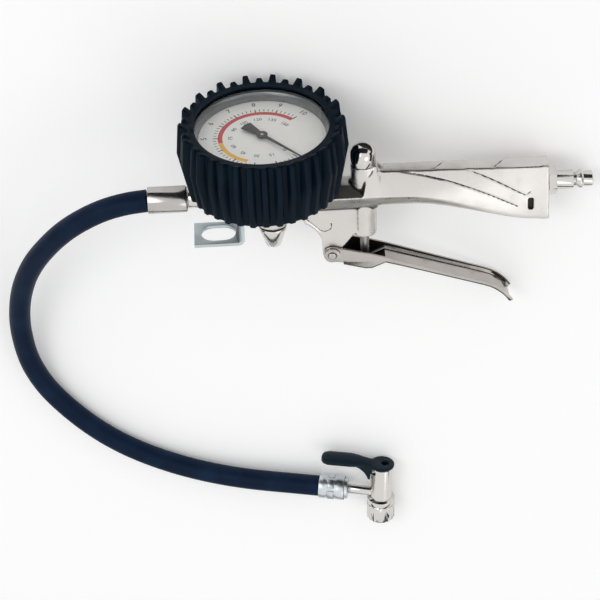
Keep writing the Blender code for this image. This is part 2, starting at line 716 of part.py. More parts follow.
def lever_floor_z(x):
    """The height of the channel's inner floor at x."""
    return lever_top_z(x) - lever_depth(x) + LEVER_SHEET


def channel_ring(x, z, depth, tilt):
    """The channel's outline in a plane leaning by tilt, hung from its upper edge at x, z."""
    w = LEVER_HALF_WIDTH
    s = LEVER_SHEET
    r = min(CHANNEL_CORNER, depth - 0.4 * MM)
    soft = 0.29 * r
    inner_soft = soft + s
    outer = [(w, 0.0), (w, r - depth), (w - soft, soft - depth), (w - r, -depth)]
    inner = [(w - r, s - depth), (w - inner_soft, inner_soft - depth), (w - s, r - depth), (w - s, 0.0)]
    half = [outer, inner]
    loop = half[0] + [(-y, h) for y, h in reversed(half[0])]
    loop += [(-y, h) for y, h in reversed(half[1])] + half[1]
    ring = []
    for y, h in loop:
        ring.append((x + h * math.sin(tilt) - PIVOT_X, y, z + h * math.cos(tilt) - PIVOT_Z))
    return ring


def ear_outline():
    """One ear's outline about the pin: a round nose, tangent to the upper edge, and a run into the cheek."""
    nose = (lever_top_z(PIVOT_X) - PIVOT_Z) * math.cos(CHEEK_SLOPE)
    start = 90.0 - math.degrees(CHEEK_SLOPE)
    inside = FLOOR_START_X + 5 * MM
    low = CHEEK_DEPTH - CHANNEL_CORNER - 0.2 * MM
    points = arc((0.0, 0.0), nose, start, 250.0, 10)
    for x, drop in ((FLOOR_START_X, low), (inside, low), (inside, 0.4 * MM)):
        points.append((x - PIVOT_X, lever_top_z(x) - drop - PIVOT_Z))
    return points


def trigger_lever(axis):
    """The pressed lever, with its origin on its pin."""
    rings = []
    straight = 10
    stations = [mix(FLOOR_START_X, CURL_START_X, index / straight) for index in range(straight + 1)]
    for x in sorted([*stations, VALVE_X]):
        tilt = LEVER_SLOPE * smoothstep(CHEEK_FADE[0], CHEEK_FADE[1] + 12 * MM, x)
        rings.append(channel_ring(x, lever_top_z(x), lever_depth(x), tilt))
    curled = 5
    top = lever_top_z(CURL_START_X)
    for index in range(1, curled + 1):
        angle = LEVER_SLOPE + CURL * index / curled
        x = CURL_START_X + CURL_RADIUS * (math.sin(angle) - math.sin(LEVER_SLOPE))
        z = top - CURL_RADIUS * (math.cos(LEVER_SLOPE) - math.cos(angle))
        rings.append(channel_ring(x, z, FLANGE_TIP, angle))
    lever = add("trigger_lever", loft(rings), STEEL, axis)
    inset = 0.05 * MM
    thick = LEVER_SHEET / 2 - inset
    middle = LEVER_HALF_WIDTH - LEVER_SHEET / 2
    for side, label in ((1.0, "far"), (-1.0, "near")):
        ear = upright_prism(ear_outline(), thick)
        combine(lever, add(f"{label}_ear", ear, STEEL, axis, (0.0, side * middle, 0.0)), "UNION")
    reach = LEVER_HALF_WIDTH + 2 * MM
    hole = bore("lever_pin_cut", PIN_RADIUS + RUN, -reach, reach, axis, (0, 0, 0), ALONG_Y, STEEL)
    combine(lever, hole, "DIFFERENCE")
    return lever


def trigger_pin(gun):
    """The headed pin through the lug and the lever's ears, and the spring clip on its other end."""
    out = LEVER_HALF_WIDTH + SEAT
    tail = out + CLIP_THICKNESS + 0.8 * MM
    head = PIN_HEAD_RADIUS
    rings = [(-tail, 0.0, ROUND), (-tail, PIN_RADIUS - 0.5 * MM, ROUND), (0.5 * MM - tail, PIN_RADIUS, ROUND)]
    rings += [(out, PIN_RADIUS, ROUND), (out, head, ROUND), (out + 0.7 * PIN_HEAD_HEIGHT, head, ROUND)]
    rings += [(out + PIN_HEAD_HEIGHT, 0.7 * head, ROUND), (out + PIN_HEAD_HEIGHT, 0.0, ROUND)]
    place = (PIVOT_X, 0.0, PIVOT_Z)
    add("trigger_pin", stacked(rings), STEEL, gun, place, ALONG_Y)
    clip = tube_rings(PIN_RADIUS + RUN, PIN_HEAD_RADIUS, -out - CLIP_THICKNESS, -out)
    add("pin_clip", stacked(clip, FEW_STEPS, closed=True), STEEL, gun, place, ALONG_Y)


def air_plug(gun):
    """The air-line plug screwed into the grip's end, and its seal in the counterbore."""
    hex_start = SEAT
    hex_end = hex_start + PLUG_HEX_LENGTH
    barrel = hex_end + PLUG_BARREL_LENGTH
    groove_end = barrel + PLUG_GROOVE_LENGTH
    collar = groove_end + PLUG_COLLAR_LENGTH
    tip = collar + PLUG_TIP_LENGTH
    flat = PLUG_HEX / 2
    rings = [
        (-PLUG_SPIGOT_LENGTH, PLUG_BORE, ROUND),
        (-PLUG_SPIGOT_LENGTH, PLUG_SPIGOT_RADIUS, ROUND),
        (hex_start, PLUG_SPIGOT_RADIUS, ROUND),
        (hex_start, flat, 6),
        (hex_end, flat, 6),
        (hex_end, PLUG_BARREL_RADIUS, ROUND),
        (barrel, PLUG_BARREL_RADIUS, ROUND),
        (barrel, PLUG_GROOVE_RADIUS, ROUND),
        (groove_end, PLUG_GROOVE_RADIUS, ROUND),
        (groove_end + 0.55 * PLUG_COLLAR_LENGTH, PLUG_COLLAR_RADIUS, ROUND),
        (groove_end + 0.75 * PLUG_COLLAR_LENGTH, PLUG_COLLAR_RADIUS, ROUND),
        (collar, PLUG_TIP_RADIUS, ROUND),
        (tip - 0.6 * MM, PLUG_TIP_RADIUS, ROUND),
        (tip, PLUG_TIP_RADIUS - 0.6 * MM, ROUND),
        (tip, PLUG_BORE, ROUND),
    ]
    place = (GRIP_END_X, 0.0, 0.0)
    add("air_plug", stacked(rings, closed=True), STEEL, gun, place, ALONG_X)
    seal = tube_rings(PLUG_SPIGOT_RADIUS + SEAT, PLUG_SEAL_RADIUS, -SEAL_THICKNESS, 0.0)
    add("plug_seal", stacked(seal, closed=True), SEAL_RUBBER, gun, place, ALONG_X)


def bottom_plug(gun):
    """The tapered plug under the gauge, which closes the housing's drilling, and its seal."""
    head = SEAT + SEAL_THICKNESS + SEAT
    tip = head + BOTTOM_PLUG_LENGTH
    rings = [
        (-BOTTOM_SPIGOT_LENGTH, 0.0, ROUND),
        (-BOTTOM_SPIGOT_LENGTH, BOTTOM_SPIGOT, ROUND),
        (head, BOTTOM_SPIGOT, ROUND),
        (head, BOTTOM_PLUG_RADIUS, ROUND),
        (head + 2 * MM, BOTTOM_PLUG_RADIUS, ROUND),
        (tip - 0.8 * MM, BOTTOM_PLUG_TIP, ROUND),
        (tip, BOTTOM_PLUG_TIP - 0.8 * MM, ROUND),
        (tip, 0.0, ROUND),
    ]
    place = (BOTTOM_X, 0.0, HOUSING_BOTTOM_Z)
    add("bottom_plug", stacked(rings), NICKEL, gun, place, DOWN_Z)
    seal = tube_rings(BOTTOM_SPIGOT + SEAT, BOTTOM_PLUG_RADIUS, SEAT, SEAT + SEAL_THICKNESS)
    add("bottom_seal", stacked(seal, closed=True), SEAL_RUBBER, gun, place, DOWN_Z)


def hang_bracket(gun):
    """The zinc angle clamped by the hose fitting: a flange round its thread, and a slotted shelf to hang it by."""
    back = PORT_FACE_X - SEAT
    front = back - BRACKET_SHEET
    low = -BRACKET_DROP
    tip = front - BRACKET_REACH
    bend = 2 * BRACKET_SHEET
    outer = arc((back - bend, low + bend), bend, 0, -90, 5)
    inner = arc((back - bend, low + bend), bend - BRACKET_SHEET, -90, 0, 5)
    top = PORT_RADIUS - 2.5 * MM
    outline = [(back, top)] + outer + [(tip, low), (tip, low + BRACKET_SHEET)] + inner + [(front, top)]
    bracket = add("hang_bracket", upright_prism(outline, BRACKET_HALF_WIDTH), ZINC, gun)
    thread = FITTING_SPIGOT_RADIUS + SEAT
    hole = bore("bracket_hole_cut", thread, -2 * BRACKET_SHEET, 2 * BRACKET_SHEET, gun, (back, 0, 0), ALONG_X, ZINC)
    combine(bracket, hole, "DIFFERENCE")
    radius = BRACKET_SLOT_WIDTH / 2
    run = BRACKET_SLOT_LENGTH - BRACKET_SLOT_WIDTH
    left = tip + BRACKET_SLOT_INSET + radius
    slot = arc((left, 0.0), radius, 90, 270, 8) + arc((left + run, 0.0), radius, -90, 90, 8)
    cutter = prism(slot, low - 2 * MM, low + BRACKET_SHEET + 2 * MM)
    combine(bracket, add("bracket_slot_cut", cutter, ZINC, gun), "DIFFERENCE")


FITTING_SPIGOT_RADIUS = PORT_BORE - SEAT
FITTING_FACE_X = PORT_FACE_X - SEAT - BRACKET_SHEET - SEAT - SEAL_THICKNESS - SEAT
SLEEVE_FACE_X = FITTING_FACE_X - FITTING_HEX_LENGTH - FITTING_NECK_LENGTH
HOSE_EXIT_X = SLEEVE_FACE_X - SEAT - SLEEVE_LENGTH


def hose_fitting(gun):
    """The hose nipple screwed into the port, its seal, and the eight-sided sleeve pressed round the hose's end."""
    neck = FITTING_HEX_LENGTH + FITTING_NECK_LENGTH
    spigot = FITTING_FACE_X - PORT_FACE_X - PORT_DEPTH + 1 * MM
    flat = FITTING_HEX / 2
    rings = [
        (spigot, PLUG_BORE, ROUND),
        (spigot, FITTING_SPIGOT_RADIUS, ROUND),
        (0.0, FITTING_SPIGOT_RADIUS, ROUND),
        (0.0, flat, 6),
        (FITTING_HEX_LENGTH, flat, 6),
        (FITTING_HEX_LENGTH, FITTING_NECK_RADIUS, ROUND),
        (neck, FITTING_NECK_RADIUS, ROUND),
        (neck, PLUG_BORE, ROUND),
    ]
    place = (FITTING_FACE_X, 0.0, 0.0)
    add("hose_fitting", stacked(rings, closed=True), NICKEL, gun, place, BACK_X)
    seal = tube_rings(FITTING_SPIGOT_RADIUS + SEAT, flat, -SEAT - SEAL_THICKNESS, -SEAT)
    add("fitting_seal", stacked(seal, FEW_STEPS, closed=True), SEAL_RUBBER, gun, place, BACK_X)
    sleeve = [
        (SEAT, SLEEVE_FLATS / 2 - 1 * MM, 8),
        (SEAT + 1 * MM, SLEEVE_FLATS / 2, 8),
        (SEAT + SLEEVE_LENGTH, SLEEVE_FLATS / 2, 8),
    ]
    add("gun_ferrule", stacked(sleeve), NICKEL, gun, (SLEEVE_FACE_X, 0.0, 0.0), BACK_X)


# Gauge, stacked along Z from the housing's top face
BOOT_LOW_Z = HOUSING_TOP_Z + BOOT_STANDOFF
CASE_LOW_Z = BOOT_LOW_Z + BOOT_FLOOR + SEAT
CASE_FLOOR_Z = CASE_LOW_Z + CASE_WALL
CASE_HIGH_Z = CASE_LOW_Z + CASE_DEPTH
LENS_LOW_Z = CASE_HIGH_Z + SEAT
LIP_LOW_Z = LENS_LOW_Z + LENS_THICKNESS + SEAT
LIP_HIGH_Z = LIP_LOW_Z + LIP_THICKNESS
DIAL_HIGH_Z = CASE_HIGH_Z - DIAL_DEPTH
CASE_INNER = CASE_RADIUS - CASE_WALL
INSERT_RADIUS = CASE_INNER - SEAT
BLOCK_LOW_Z = CASE_FLOOR_Z + SEAT
BLOCK_HIGH_Z = BLOCK_LOW_Z + BLOCK_HEIGHT
PLATE_LOW_Z = BLOCK_HIGH_Z + SEAT
PLATE_TOP_Z = PLATE_LOW_Z + PLATE_SHEET
UPPER_PLATE_Z = PLATE_TOP_Z + PLATE_SPACING
GEAR_LOW_Z = PLATE_TOP_Z + 0.3 * PLATE_SPACING
GEAR_HIGH_Z = GEAR_LOW_Z + GEAR_THICKNESS
POINTER_LOW_Z = DIAL_HIGH_Z + POINTER_LIFT
POINTER_HIGH_Z = POINTER_LOW_Z + POINTER_SHEET
PINION_RADIUS = PINION_TEETH * TOOTH_PITCH / math.tau
SECTOR_RADIUS = PINION_RADIUS * GEAR_RATIO
SECTOR_X = -(PINION_RADIUS + SECTOR_RADIUS + 0.1 * MM)
SECTOR_SWING = math.radians(270.0) / GEAR_RATIO
SECTOR_TAIL = 5.5 * MM
TUBE_SWEEP = math.radians(230.0)
TUBE_LOW_Z = CASE_FLOOR_Z + 1.5 * MM


def gauge_case(gun):
    """The gauge's steel cup, open at the front, with a hole for its socket."""
    hole = SOCKET_NECK_RADIUS + SEAT
    rings = [
        (CASE_LOW_Z, hole, ROUND),
        (CASE_LOW_Z, CASE_RADIUS - 1 * MM, ROUND),
        (CASE_LOW_Z + 1 * MM, CASE_RADIUS, ROUND),
        (CASE_HIGH_Z, CASE_RADIUS, ROUND),
        (CASE_HIGH_Z, CASE_INNER, ROUND),
        (CASE_FLOOR_Z, CASE_INNER, ROUND),
        (CASE_FLOOR_Z, hole, ROUND),
    ]
    add("gauge_case", stacked(rings, FINE_STEPS, closed=True), CASE_PAINT, gun)


def gauge_front(gun):
    """The dial, the conical bezel ring that holds it, and the clear lens."""
    dial_low = DIAL_HIGH_Z - DIAL_SHEET
    dial = tube_rings(ARBOR_RADIUS + 2 * RUN, INSERT_RADIUS, dial_low, DIAL_HIGH_Z)
    add("dial_plate", stacked(dial, FINE_STEPS, closed=True), DIAL_WHITE, gun)
    bezel = [
        (DIAL_HIGH_Z + SEAT, BEZEL_INNER_LOW, ROUND),
        (DIAL_HIGH_Z + SEAT, INSERT_RADIUS, ROUND),
        (CASE_HIGH_Z, INSERT_RADIUS, ROUND),
        (CASE_HIGH_Z, INSERT_RADIUS - BEZEL_RIM, ROUND),
    ]
    add("bezel_ring", stacked(bezel, FINE_STEPS, closed=True), BEZEL_GREY, gun)
    lens = rod_rings(CASE_RADIUS, LENS_LOW_Z, LENS_LOW_Z + LENS_THICKNESS)
    add("gauge_lens", stacked(lens, FINE_STEPS), CLEAR_GLASS, gun)


def gauge_socket(gun):
    """The brass socket screwed into the housing, with the block that feeds the curved tube."""
    seat = HOUSING_TOP_Z + SEAT
    stem = stacked([
        (HOUSING_TOP_Z - SOCKET_DEPTH, SOCKET_RADIUS, ROUND),
        (seat, SOCKET_RADIUS, ROUND),
        (seat, SOCKET_NECK_RADIUS, ROUND),
        (BLOCK_LOW_Z + 2 * MM, SOCKET_NECK_RADIUS, ROUND),
    ])
    socket = add("gauge_socket", stem, BRASS, gun)
    reach = TUBE_RADIUS + TUBE_WALL
    wide = SOCKET_NECK_RADIUS + 1 * MM
    outline = [(-BLOCK_HALF_WIDTH, -reach), (BLOCK_HALF_WIDTH, -reach), (BLOCK_HALF_WIDTH, -wide), (wide, -wide)]
    outline += [(wide, wide), (-wide, wide), (-wide, -wide), (-BLOCK_HALF_WIDTH, -wide)]
    block = add("block_form", prism(outline, BLOCK_LOW_Z, BLOCK_HIGH_Z), BRASS, gun)
    combine(socket, block, "UNION")


def bourdon_tube(gun):
    """The flattened curved tube, a C from the socket's block to its free tip."""
    inner = TUBE_RADIUS - TUBE_WALL / 2
    start = math.asin((BLOCK_HALF_WIDTH + SEAT) / inner) - math.radians(90)
    middle = TUBE_LOW_Z + TUBE_HEIGHT / 2
    count = 15
    sides = 8
    rings = []
    for index in range(count + 1):
        turn = start + TUBE_SWEEP * index / count
        ring = []
        for side in range(sides):
            angle = math.tau * (side + 0.5) / sides
            radius = TUBE_RADIUS + TUBE_WALL / 2 * math.cos(angle)
            ring.append((radius * math.cos(turn), radius * math.sin(turn), middle + TUBE_HEIGHT / 2 * math.sin(angle)))
        rings.append(ring)
    add("bourdon_tube", loft(rings), BRASS, gun)
    tube_link(gun, start + TUBE_SWEEP - math.radians(4))


def tube_link(gun, turn):
    """The link that hangs between the tube's free tip and the sector's tail."""
    tip = Vector((TUBE_RADIUS * math.cos(turn), TUBE_RADIUS * math.sin(turn)))
    tail = Vector((SECTOR_X - SECTOR_TAIL + 1 * MM, 0.0))
    along = (tail - tip).normalized()
    across = Vector((-along.y, along.x)) * 1.0 * MM
    ends = (tip - along * 1.2 * MM, tail + along * 1.2 * MM)
    outline = [ends[0] - across, ends[1] - across, ends[1] + across, ends[0] + across]
    low = GEAR_HIGH_Z + SEAT
    link = add("tube_link", prism(outline, low, low + 0.8 * MM), BRASS, gun)
    tube_top = TUBE_LOW_Z + TUBE_HEIGHT * (0.5 + 0.5 * math.sin(math.radians(67.5)))
    post = stacked(rod_rings(0.8 * MM, tube_top + SEAT, low + 0.4 * MM), steps=12)
    combine(link, add("link_post", post, BRASS, gun, (*tip, 0.0)), "UNION")


PILLARS = (
    (PINION_RADIUS + 5.0 * MM, PINION_RADIUS + 5.6 * MM),
    (PINION_RADIUS + 5.0 * MM, -PINION_RADIUS - 5.6 * MM),
    (SECTOR_X - 3.0 * MM, PINION_RADIUS + 5.9 * MM),
)


def plate_outline():
    """The movement plates' outline round their pillars and arbors."""
    right = PILLARS[0][0] + PLATE_MARGIN
    left = PILLARS[2][0] - PLATE_MARGIN
    wide = PILLARS[0][1] + PLATE_MARGIN
    return [(left, -wide), (right, -wide), (right, wide), (left, wide)]


def movement(gun):
    """The movement's base plate with its pillars, and the upper plate."""
    base = add("movement_base", prism(plate_outline(), PLATE_LOW_Z, PLATE_TOP_Z), BRASS, gun)
    upper = add("movement_top", prism(plate_outline(), UPPER_PLATE_Z, UPPER_PLATE_Z + PLATE_SHEET), BRASS, gun)
    for index, (x, y) in enumerate(PILLARS):
        rings = rod_rings(PILLAR_RADIUS, PLATE_LOW_Z + 0.4 * MM, UPPER_PLATE_Z - SEAT)
        pillar = add(f"pillar_{index}", stacked(rings, steps=12), BRASS, gun, (x, y, 0.0))
        combine(base, pillar, "UNION")
    for name, x in (("pinion", 0.0), ("sector", SECTOR_X)):
        for plate, low in ((base, PLATE_LOW_Z), (upper, UPPER_PLATE_Z)):
            reach = 2 * PLATE_SHEET
            cutter = bore(f"{plate.name}_{name}_cut", ARBOR_RADIUS + RUN, low - reach, low + reach, gun, (x, 0, 0))
            combine(plate, cutter, "DIFFERENCE")


def toothed(count, pitch_radius, first, last, phase):
    """Points of a toothed rim about the origin, for the teeth numbered first to last."""
    pitch = math.tau / count
    root = pitch_radius - TOOTH_DEDENDUM
    tip = pitch_radius + TOOTH_ADDENDUM
    points = []
    for tooth in range(first, last):
        for share, radius in ((-0.21, root), (-0.08, tip), (0.08, tip), (0.21, root)):
            angle = phase + (tooth + share) * pitch
            points.append((radius * math.cos(angle), radius * math.sin(angle)))
    return points


def pointer_parts(axis):
    """The pointer, and its shaft with the pinion, with their origin on the gauge's axis."""
    half_pitch = math.pi / PINION_TEETH
    teeth = toothed(PINION_TEETH, PINION_RADIUS, 0, PINION_TEETH, math.pi + half_pitch)
    shaft = add("pointer_shaft", prism(teeth, GEAR_LOW_Z, GEAR_HIGH_Z), STEEL, axis)
    rod = stacked(rod_rings(ARBOR_RADIUS, PLATE_LOW_Z + SEAT, POINTER_HIGH_Z), FEW_STEPS)
    combine(shaft, add("shaft_form", rod, STEEL, axis), "UNION")
    hub = 3.2 * MM
    neck = 0.9 * MM
    tail = 3.6 * MM
    outline = [(POINTER_LENGTH, -0.25 * MM), (POINTER_LENGTH, 0.25 * MM), (hub, neck)]
    outline += arc((0.0, 0.0), hub, 25, 150, 6)
    outline += [(-POINTER_TAIL, tail), (-POINTER_TAIL - 0.8 * MM, 0.0), (-POINTER_TAIL, -tail)]
    outline += arc((0.0, 0.0), hub, 210, 335, 6) + [(hub, -neck)]
    needle = prism(outline, POINTER_LOW_Z, POINTER_HIGH_Z)
    bmesh.ops.rotate(needle, verts=needle.verts, cent=(0, 0, 0), matrix=Matrix.Rotation(POINTER_REST, 3, "Z"))
    pointer = add("gauge_pointer", needle, POINTER_BLACK, axis)
    hole = ARBOR_RADIUS + RUN
    cutter = bore("pointer_cut", hole, POINTER_LOW_Z - 1 * MM, POINTER_HIGH_Z + 1 * MM, axis, (0, 0, 0))
    combine(pointer, cutter, "DIFFERENCE")


def sector_gear(axis):
    """The toothed sector that turns the pinion, with its arbor and the tail that the link pulls."""
    count = PINION_TEETH * GEAR_RATIO
    reach = math.ceil((SECTOR_SWING + math.radians(7)) / (math.tau / count))
    rim = toothed(count, SECTOR_RADIUS, -reach, 3, 0.0)
    outline = rim + arc((0.0, 0.0), 3.0 * MM, 60, 150, 4)
    outline += [(-SECTOR_TAIL, 1.4 * MM), (-SECTOR_TAIL, -1.4 * MM)] + arc((0.0, 0.0), 3.0 * MM, 210, 250, 3)
    gear = add("sector_gear", prism(outline, GEAR_LOW_Z, GEAR_HIGH_Z), BRASS, axis)
    rod = stacked(rod_rings(ARBOR_RADIUS, PLATE_LOW_Z + SEAT, UPPER_PLATE_Z + PLATE_SHEET), FEW_STEPS)
    combine(gear, add("arbor_form", rod, BRASS, axis), "UNION")


def rubber_boot(gun):
    """The boot over the gauge: a sleeve with a floor and a lip, and tall and low ribs that stand past the lip."""
    inner = CASE_RADIUS + SEAT
    valley = BOOT_VALLEY
    pitch = math.pi / RIB_PAIRS
    middle_z = mix(BOOT_LOW_Z, LIP_HIGH_Z, 0.6)
    columns = []
    for rib in range(2 * RIB_PAIRS):
        drop = SMALL_RIB_DROP if rib % 2 else 0.0
        depth = RIB_DEPTH - drop
        rise = RIB_RISE - drop
        for share, stand in ((-RIB_BASE_SHARE, 0), (-RIB_TIP_SHARE, 1), (RIB_TIP_SHARE, 1), (RIB_BASE_SHARE, 0)):
            out = valley + depth * stand
            slim = out - RIB_TAPER * stand
            back = valley + RIB_BACK_SHARE * depth * stand
            top = LIP_HIGH_Z + rise * stand
            profile = [
                (BOOT_HOLE, BOOT_LOW_Z),
                (back - 0.6 * MM, BOOT_LOW_Z),
                (out, middle_z),
                (slim, top - 1.5 * MM),
                (slim - 0.4 * MM - 0.8 * MM * stand, top),
                (valley - 1.6 * MM, LIP_HIGH_Z),
                (LIP_RADIUS, LIP_HIGH_Z),
                (LIP_RADIUS, LIP_LOW_Z),
                (inner, LIP_LOW_Z),
                (inner, BOOT_LOW_Z + BOOT_FLOOR),
                (BOOT_HOLE, BOOT_LOW_Z + BOOT_FLOOR),
            ]
            angle = (rib + share / 2) * pitch
            columns.append([(r * math.cos(angle), r * math.sin(angle), z) for r, z in profile])
    add("rubber_boot", loft(columns, closed=True), RUBBER, gun)


def gauge(gun, pointer_axis, sector_axis):
    """The whole gauge in its boot."""
    rubber_boot(gun)
    gauge_case(gun)
    gauge_front(gun)
    gauge_socket(gun)
    bourdon_tube(gun)
    movement(gun)
    pointer_parts(pointer_axis)
    sector_gear(sector_axis)


# Rest on the table
FIRST_UP = Vector((-0.176, -0.969, 0.175))


def corners(obj):
    """The points of an object's finished mesh, in the scene's frame."""
    finished = obj.evaluated_get(bpy.context.evaluated_depsgraph_get())
    mesh = finished.to_mesh()
    points = [finished.matrix_world @ vertex.co for vertex in mesh.vertices]
    finished.to_mesh_clear()
    return points


def table_normal(clouds):
    """The direction that is up when the gun lies on one point of each of three pieces."""
    up = FIRST_UP
    for _ in range(20):
        first, second, third = (min(cloud, key=up.dot) for cloud in clouds)
        normal = (second - first).cross(third - first).normalized()
        if normal.dot(up) < 0:
            normal.negate()
        if (normal - up).length < 1e-6:
            break
        up = normal
    return up


def lay_down(gun, supports):
    """Turns the gun to lie on three of its pieces, and centres what stands on the table on the origin."""
    bpy.context.view_layer.update()
    up = table_normal([corners(piece) for piece in supports])
    along = (Vector((1.0, 0.0, 0.0)) - up * up.x).normalized()
    gun.matrix_world = Matrix((along, up.cross(along), up)).to_4x4()
    bpy.context.view_layer.update()
    points = []
    for obj in gun.children_recursive:
        if obj.type != "EMPTY" and not obj.hide_render and obj.name not in ON_CORD:
            points += corners(obj)
    low = Vector(min(point[axis] for point in points) for axis in range(3))
    high = Vector(max(point[axis] for point in points) for axis in range(3))
    gun.location = (-(low.x + high.x) / 2, -(low.y + high.y) / 2, -low.z)
    bpy.context.view_layer.update()


ON_CORD = ("gun_ferrule",)

# Chuck
STEM_FACE_X = -BARREL_RADIUS - STEM_TUBE_LENGTH - SEAT
FERRULE_END_X = STEM_FACE_X - CHUCK_COLLAR_LENGTH - CHUCK_FERRULE_LENGTH
NUT_TOP = FLANGE_TOP - FLANGE_LENGTH - SEAT
NUT_LOW = NUT_TOP - NUT_LENGTH
THREAD_LOW = FLANGE_TOP - FLANGE_LENGTH - NUT_THREAD_LENGTH
GASKET_TOP = THREAD_LOW - SEAT
GASKET_LOW = GASKET_TOP - GASKET_THICKNESS
SLOT_FLOOR = BARREL_TOP - CHUCK_SLOT_DEPTH
PIN_HEIGHT = BARREL_TOP - CHUCK_PIN_DROP


def chuck_barrel(chuck):
    """The plated barrel: a flange, a thread below it, a bore, a hole for the stem and a slot for the lever."""
    flange_low = FLANGE_TOP - FLANGE_LENGTH
    rings = [
        (THREAD_LOW, BARREL_BORE, ROUND),
        (THREAD_LOW, NUT_THREAD_RADIUS, ROUND),
        (flange_low, NUT_THREAD_RADIUS, ROUND),
        (flange_low, FLANGE_RADIUS, ROUND),
        (FLANGE_TOP - 0.8 * MM, FLANGE_RADIUS, ROUND),
        (FLANGE_TOP, BARREL_RADIUS, ROUND),
        (BARREL_TOP - 0.5 * MM, BARREL_RADIUS, ROUND),
        (BARREL_TOP, BARREL_RADIUS - 0.5 * MM, ROUND),
        (BARREL_TOP, BARREL_BORE, ROUND),
    ]
    barrel = add("chuck_barrel", stacked(rings, closed=True), NICKEL, chuck)
    past = 2 * MM
    side = bore("stem_hole_cut", STEM_TUBE_RADIUS + SEAT, 0.0, BARREL_RADIUS + past, chuck, (0, 0, 0), BACK_X)
    slot = box(
        (-BARREL_RADIUS - past, -CHUCK_SLOT_HALF, SLOT_FLOOR),
        (0.0, CHUCK_SLOT_HALF, BARREL_TOP + past),
    )
    reach = BARREL_RADIUS + past
    pin_place = (CHUCK_PIN_X, 0.0, PIN_HEIGHT)
    pin = bore("chuck_pin_cut", CHUCK_PIN_RADIUS + RUN, -reach, reach, chuck, pin_place, ALONG_Y)
    for cutter in (side, add("chuck_slot_cut", slot, NICKEL, chuck), pin):
        combine(barrel, cutter, "DIFFERENCE")


def chuck_nut(chuck):
    """The knurled nut on the barrel's thread, with the mouth that takes the tyre's valve, and the gasket in it."""
    thread = NUT_THREAD_RADIUS + SEAT
    floor = GASKET_LOW - SEAT
    steps = 2 * NUT_RIDGES
    low = [(NUT_LOW, MOUTH_RADIUS), (NUT_LOW, NUT_RADIUS - 1 * MM)]
    high = [(NUT_TOP, NUT_RADIUS - 0.6 * MM), (NUT_TOP, thread), (floor, thread), (floor, MOUTH_RADIUS)]
    columns = []
    for index in range(steps):
        angle = math.tau * index / steps
        ridge = NUT_RADIUS - NUT_RIDGE_DEPTH * (index % 2)
        rings = low + [(NUT_LOW + 1 * MM, ridge), (NUT_TOP - 0.6 * MM, ridge)] + high
        columns.append([(r * math.cos(angle), r * math.sin(angle), z) for z, r in rings])
    add("chuck_nut", loft(columns, closed=True), NICKEL, chuck)
    gasket = tube_rings(GASKET_HOLE, NUT_THREAD_RADIUS, GASKET_LOW, GASKET_TOP)
    add("chuck_gasket", stacked(gasket, FEW_STEPS, closed=True), SEAL_RUBBER, chuck)


def chuck_plunger(plunger_axis):
    """The plunger in the barrel's bore, with the thin tip that opens the tyre's valve."""
    shoulder = GASKET_TOP + 2 * MM
    radius = BARREL_BORE - SEAT
    rings = [
        (GASKET_LOW, 0.0, ROUND),
        (GASKET_LOW, PLUNGER_TIP_RADIUS, ROUND),
        (shoulder, PLUNGER_TIP_RADIUS, ROUND),
        (shoulder, radius, ROUND),
        (SLOT_FLOOR - 0.6 * MM, radius, ROUND),
        (SLOT_FLOOR - 0.6 * MM, 0.0, ROUND),
    ]
    add("chuck_plunger", stacked(rings, FEW_STEPS), BRASS, plunger_axis)


def chuck_tail(chuck):
    """The bare tube from the barrel to the hose, and the crimped ferrule on the hose's end."""
    inside = BARREL_BORE + 0.6 * MM
    stem = tube_rings(0.5 * STEM_TUBE_RADIUS, STEM_TUBE_RADIUS, inside, -STEM_FACE_X - SEAT)
    add("chuck_stem", stacked(stem, FEW_STEPS, closed=True), NICKEL, chuck, rotation=BACK_X)
    collar = CHUCK_COLLAR_LENGTH
    end = collar + CHUCK_FERRULE_LENGTH
    waist = CHUCK_FERRULE_RADIUS - 0.4 * MM
    rings = [
        (0.0, CHUCK_COLLAR_RADIUS, ROUND),
        (collar, CHUCK_COLLAR_RADIUS, ROUND),
        (collar, CHUCK_FERRULE_RADIUS, ROUND),
        (mix(collar, end, 0.25), CHUCK_FERRULE_RADIUS, ROUND),
        (mix(collar, end, 0.4), waist, ROUND),
        (mix(collar, end, 0.65), waist, ROUND),
        (mix(collar, end, 0.8), CHUCK_FERRULE_RADIUS, ROUND),
        (end, CHUCK_FERRULE_RADIUS, ROUND),
    ]
    add("chuck_ferrule", stacked(rings), NICKEL, chuck, (STEM_FACE_X, 0.0, 0.0), BACK_X)


def paddle_ring(x, height, half_thickness, half_width):
    """An oval section of the chuck's lever at x."""
    sides = 12
    ring = []
    for index in range(sides):
        angle = math.tau * (index + 0.5) / sides
        ring.append((x, half_width * math.cos(angle), height + half_thickness * math.sin(angle)))
    return ring


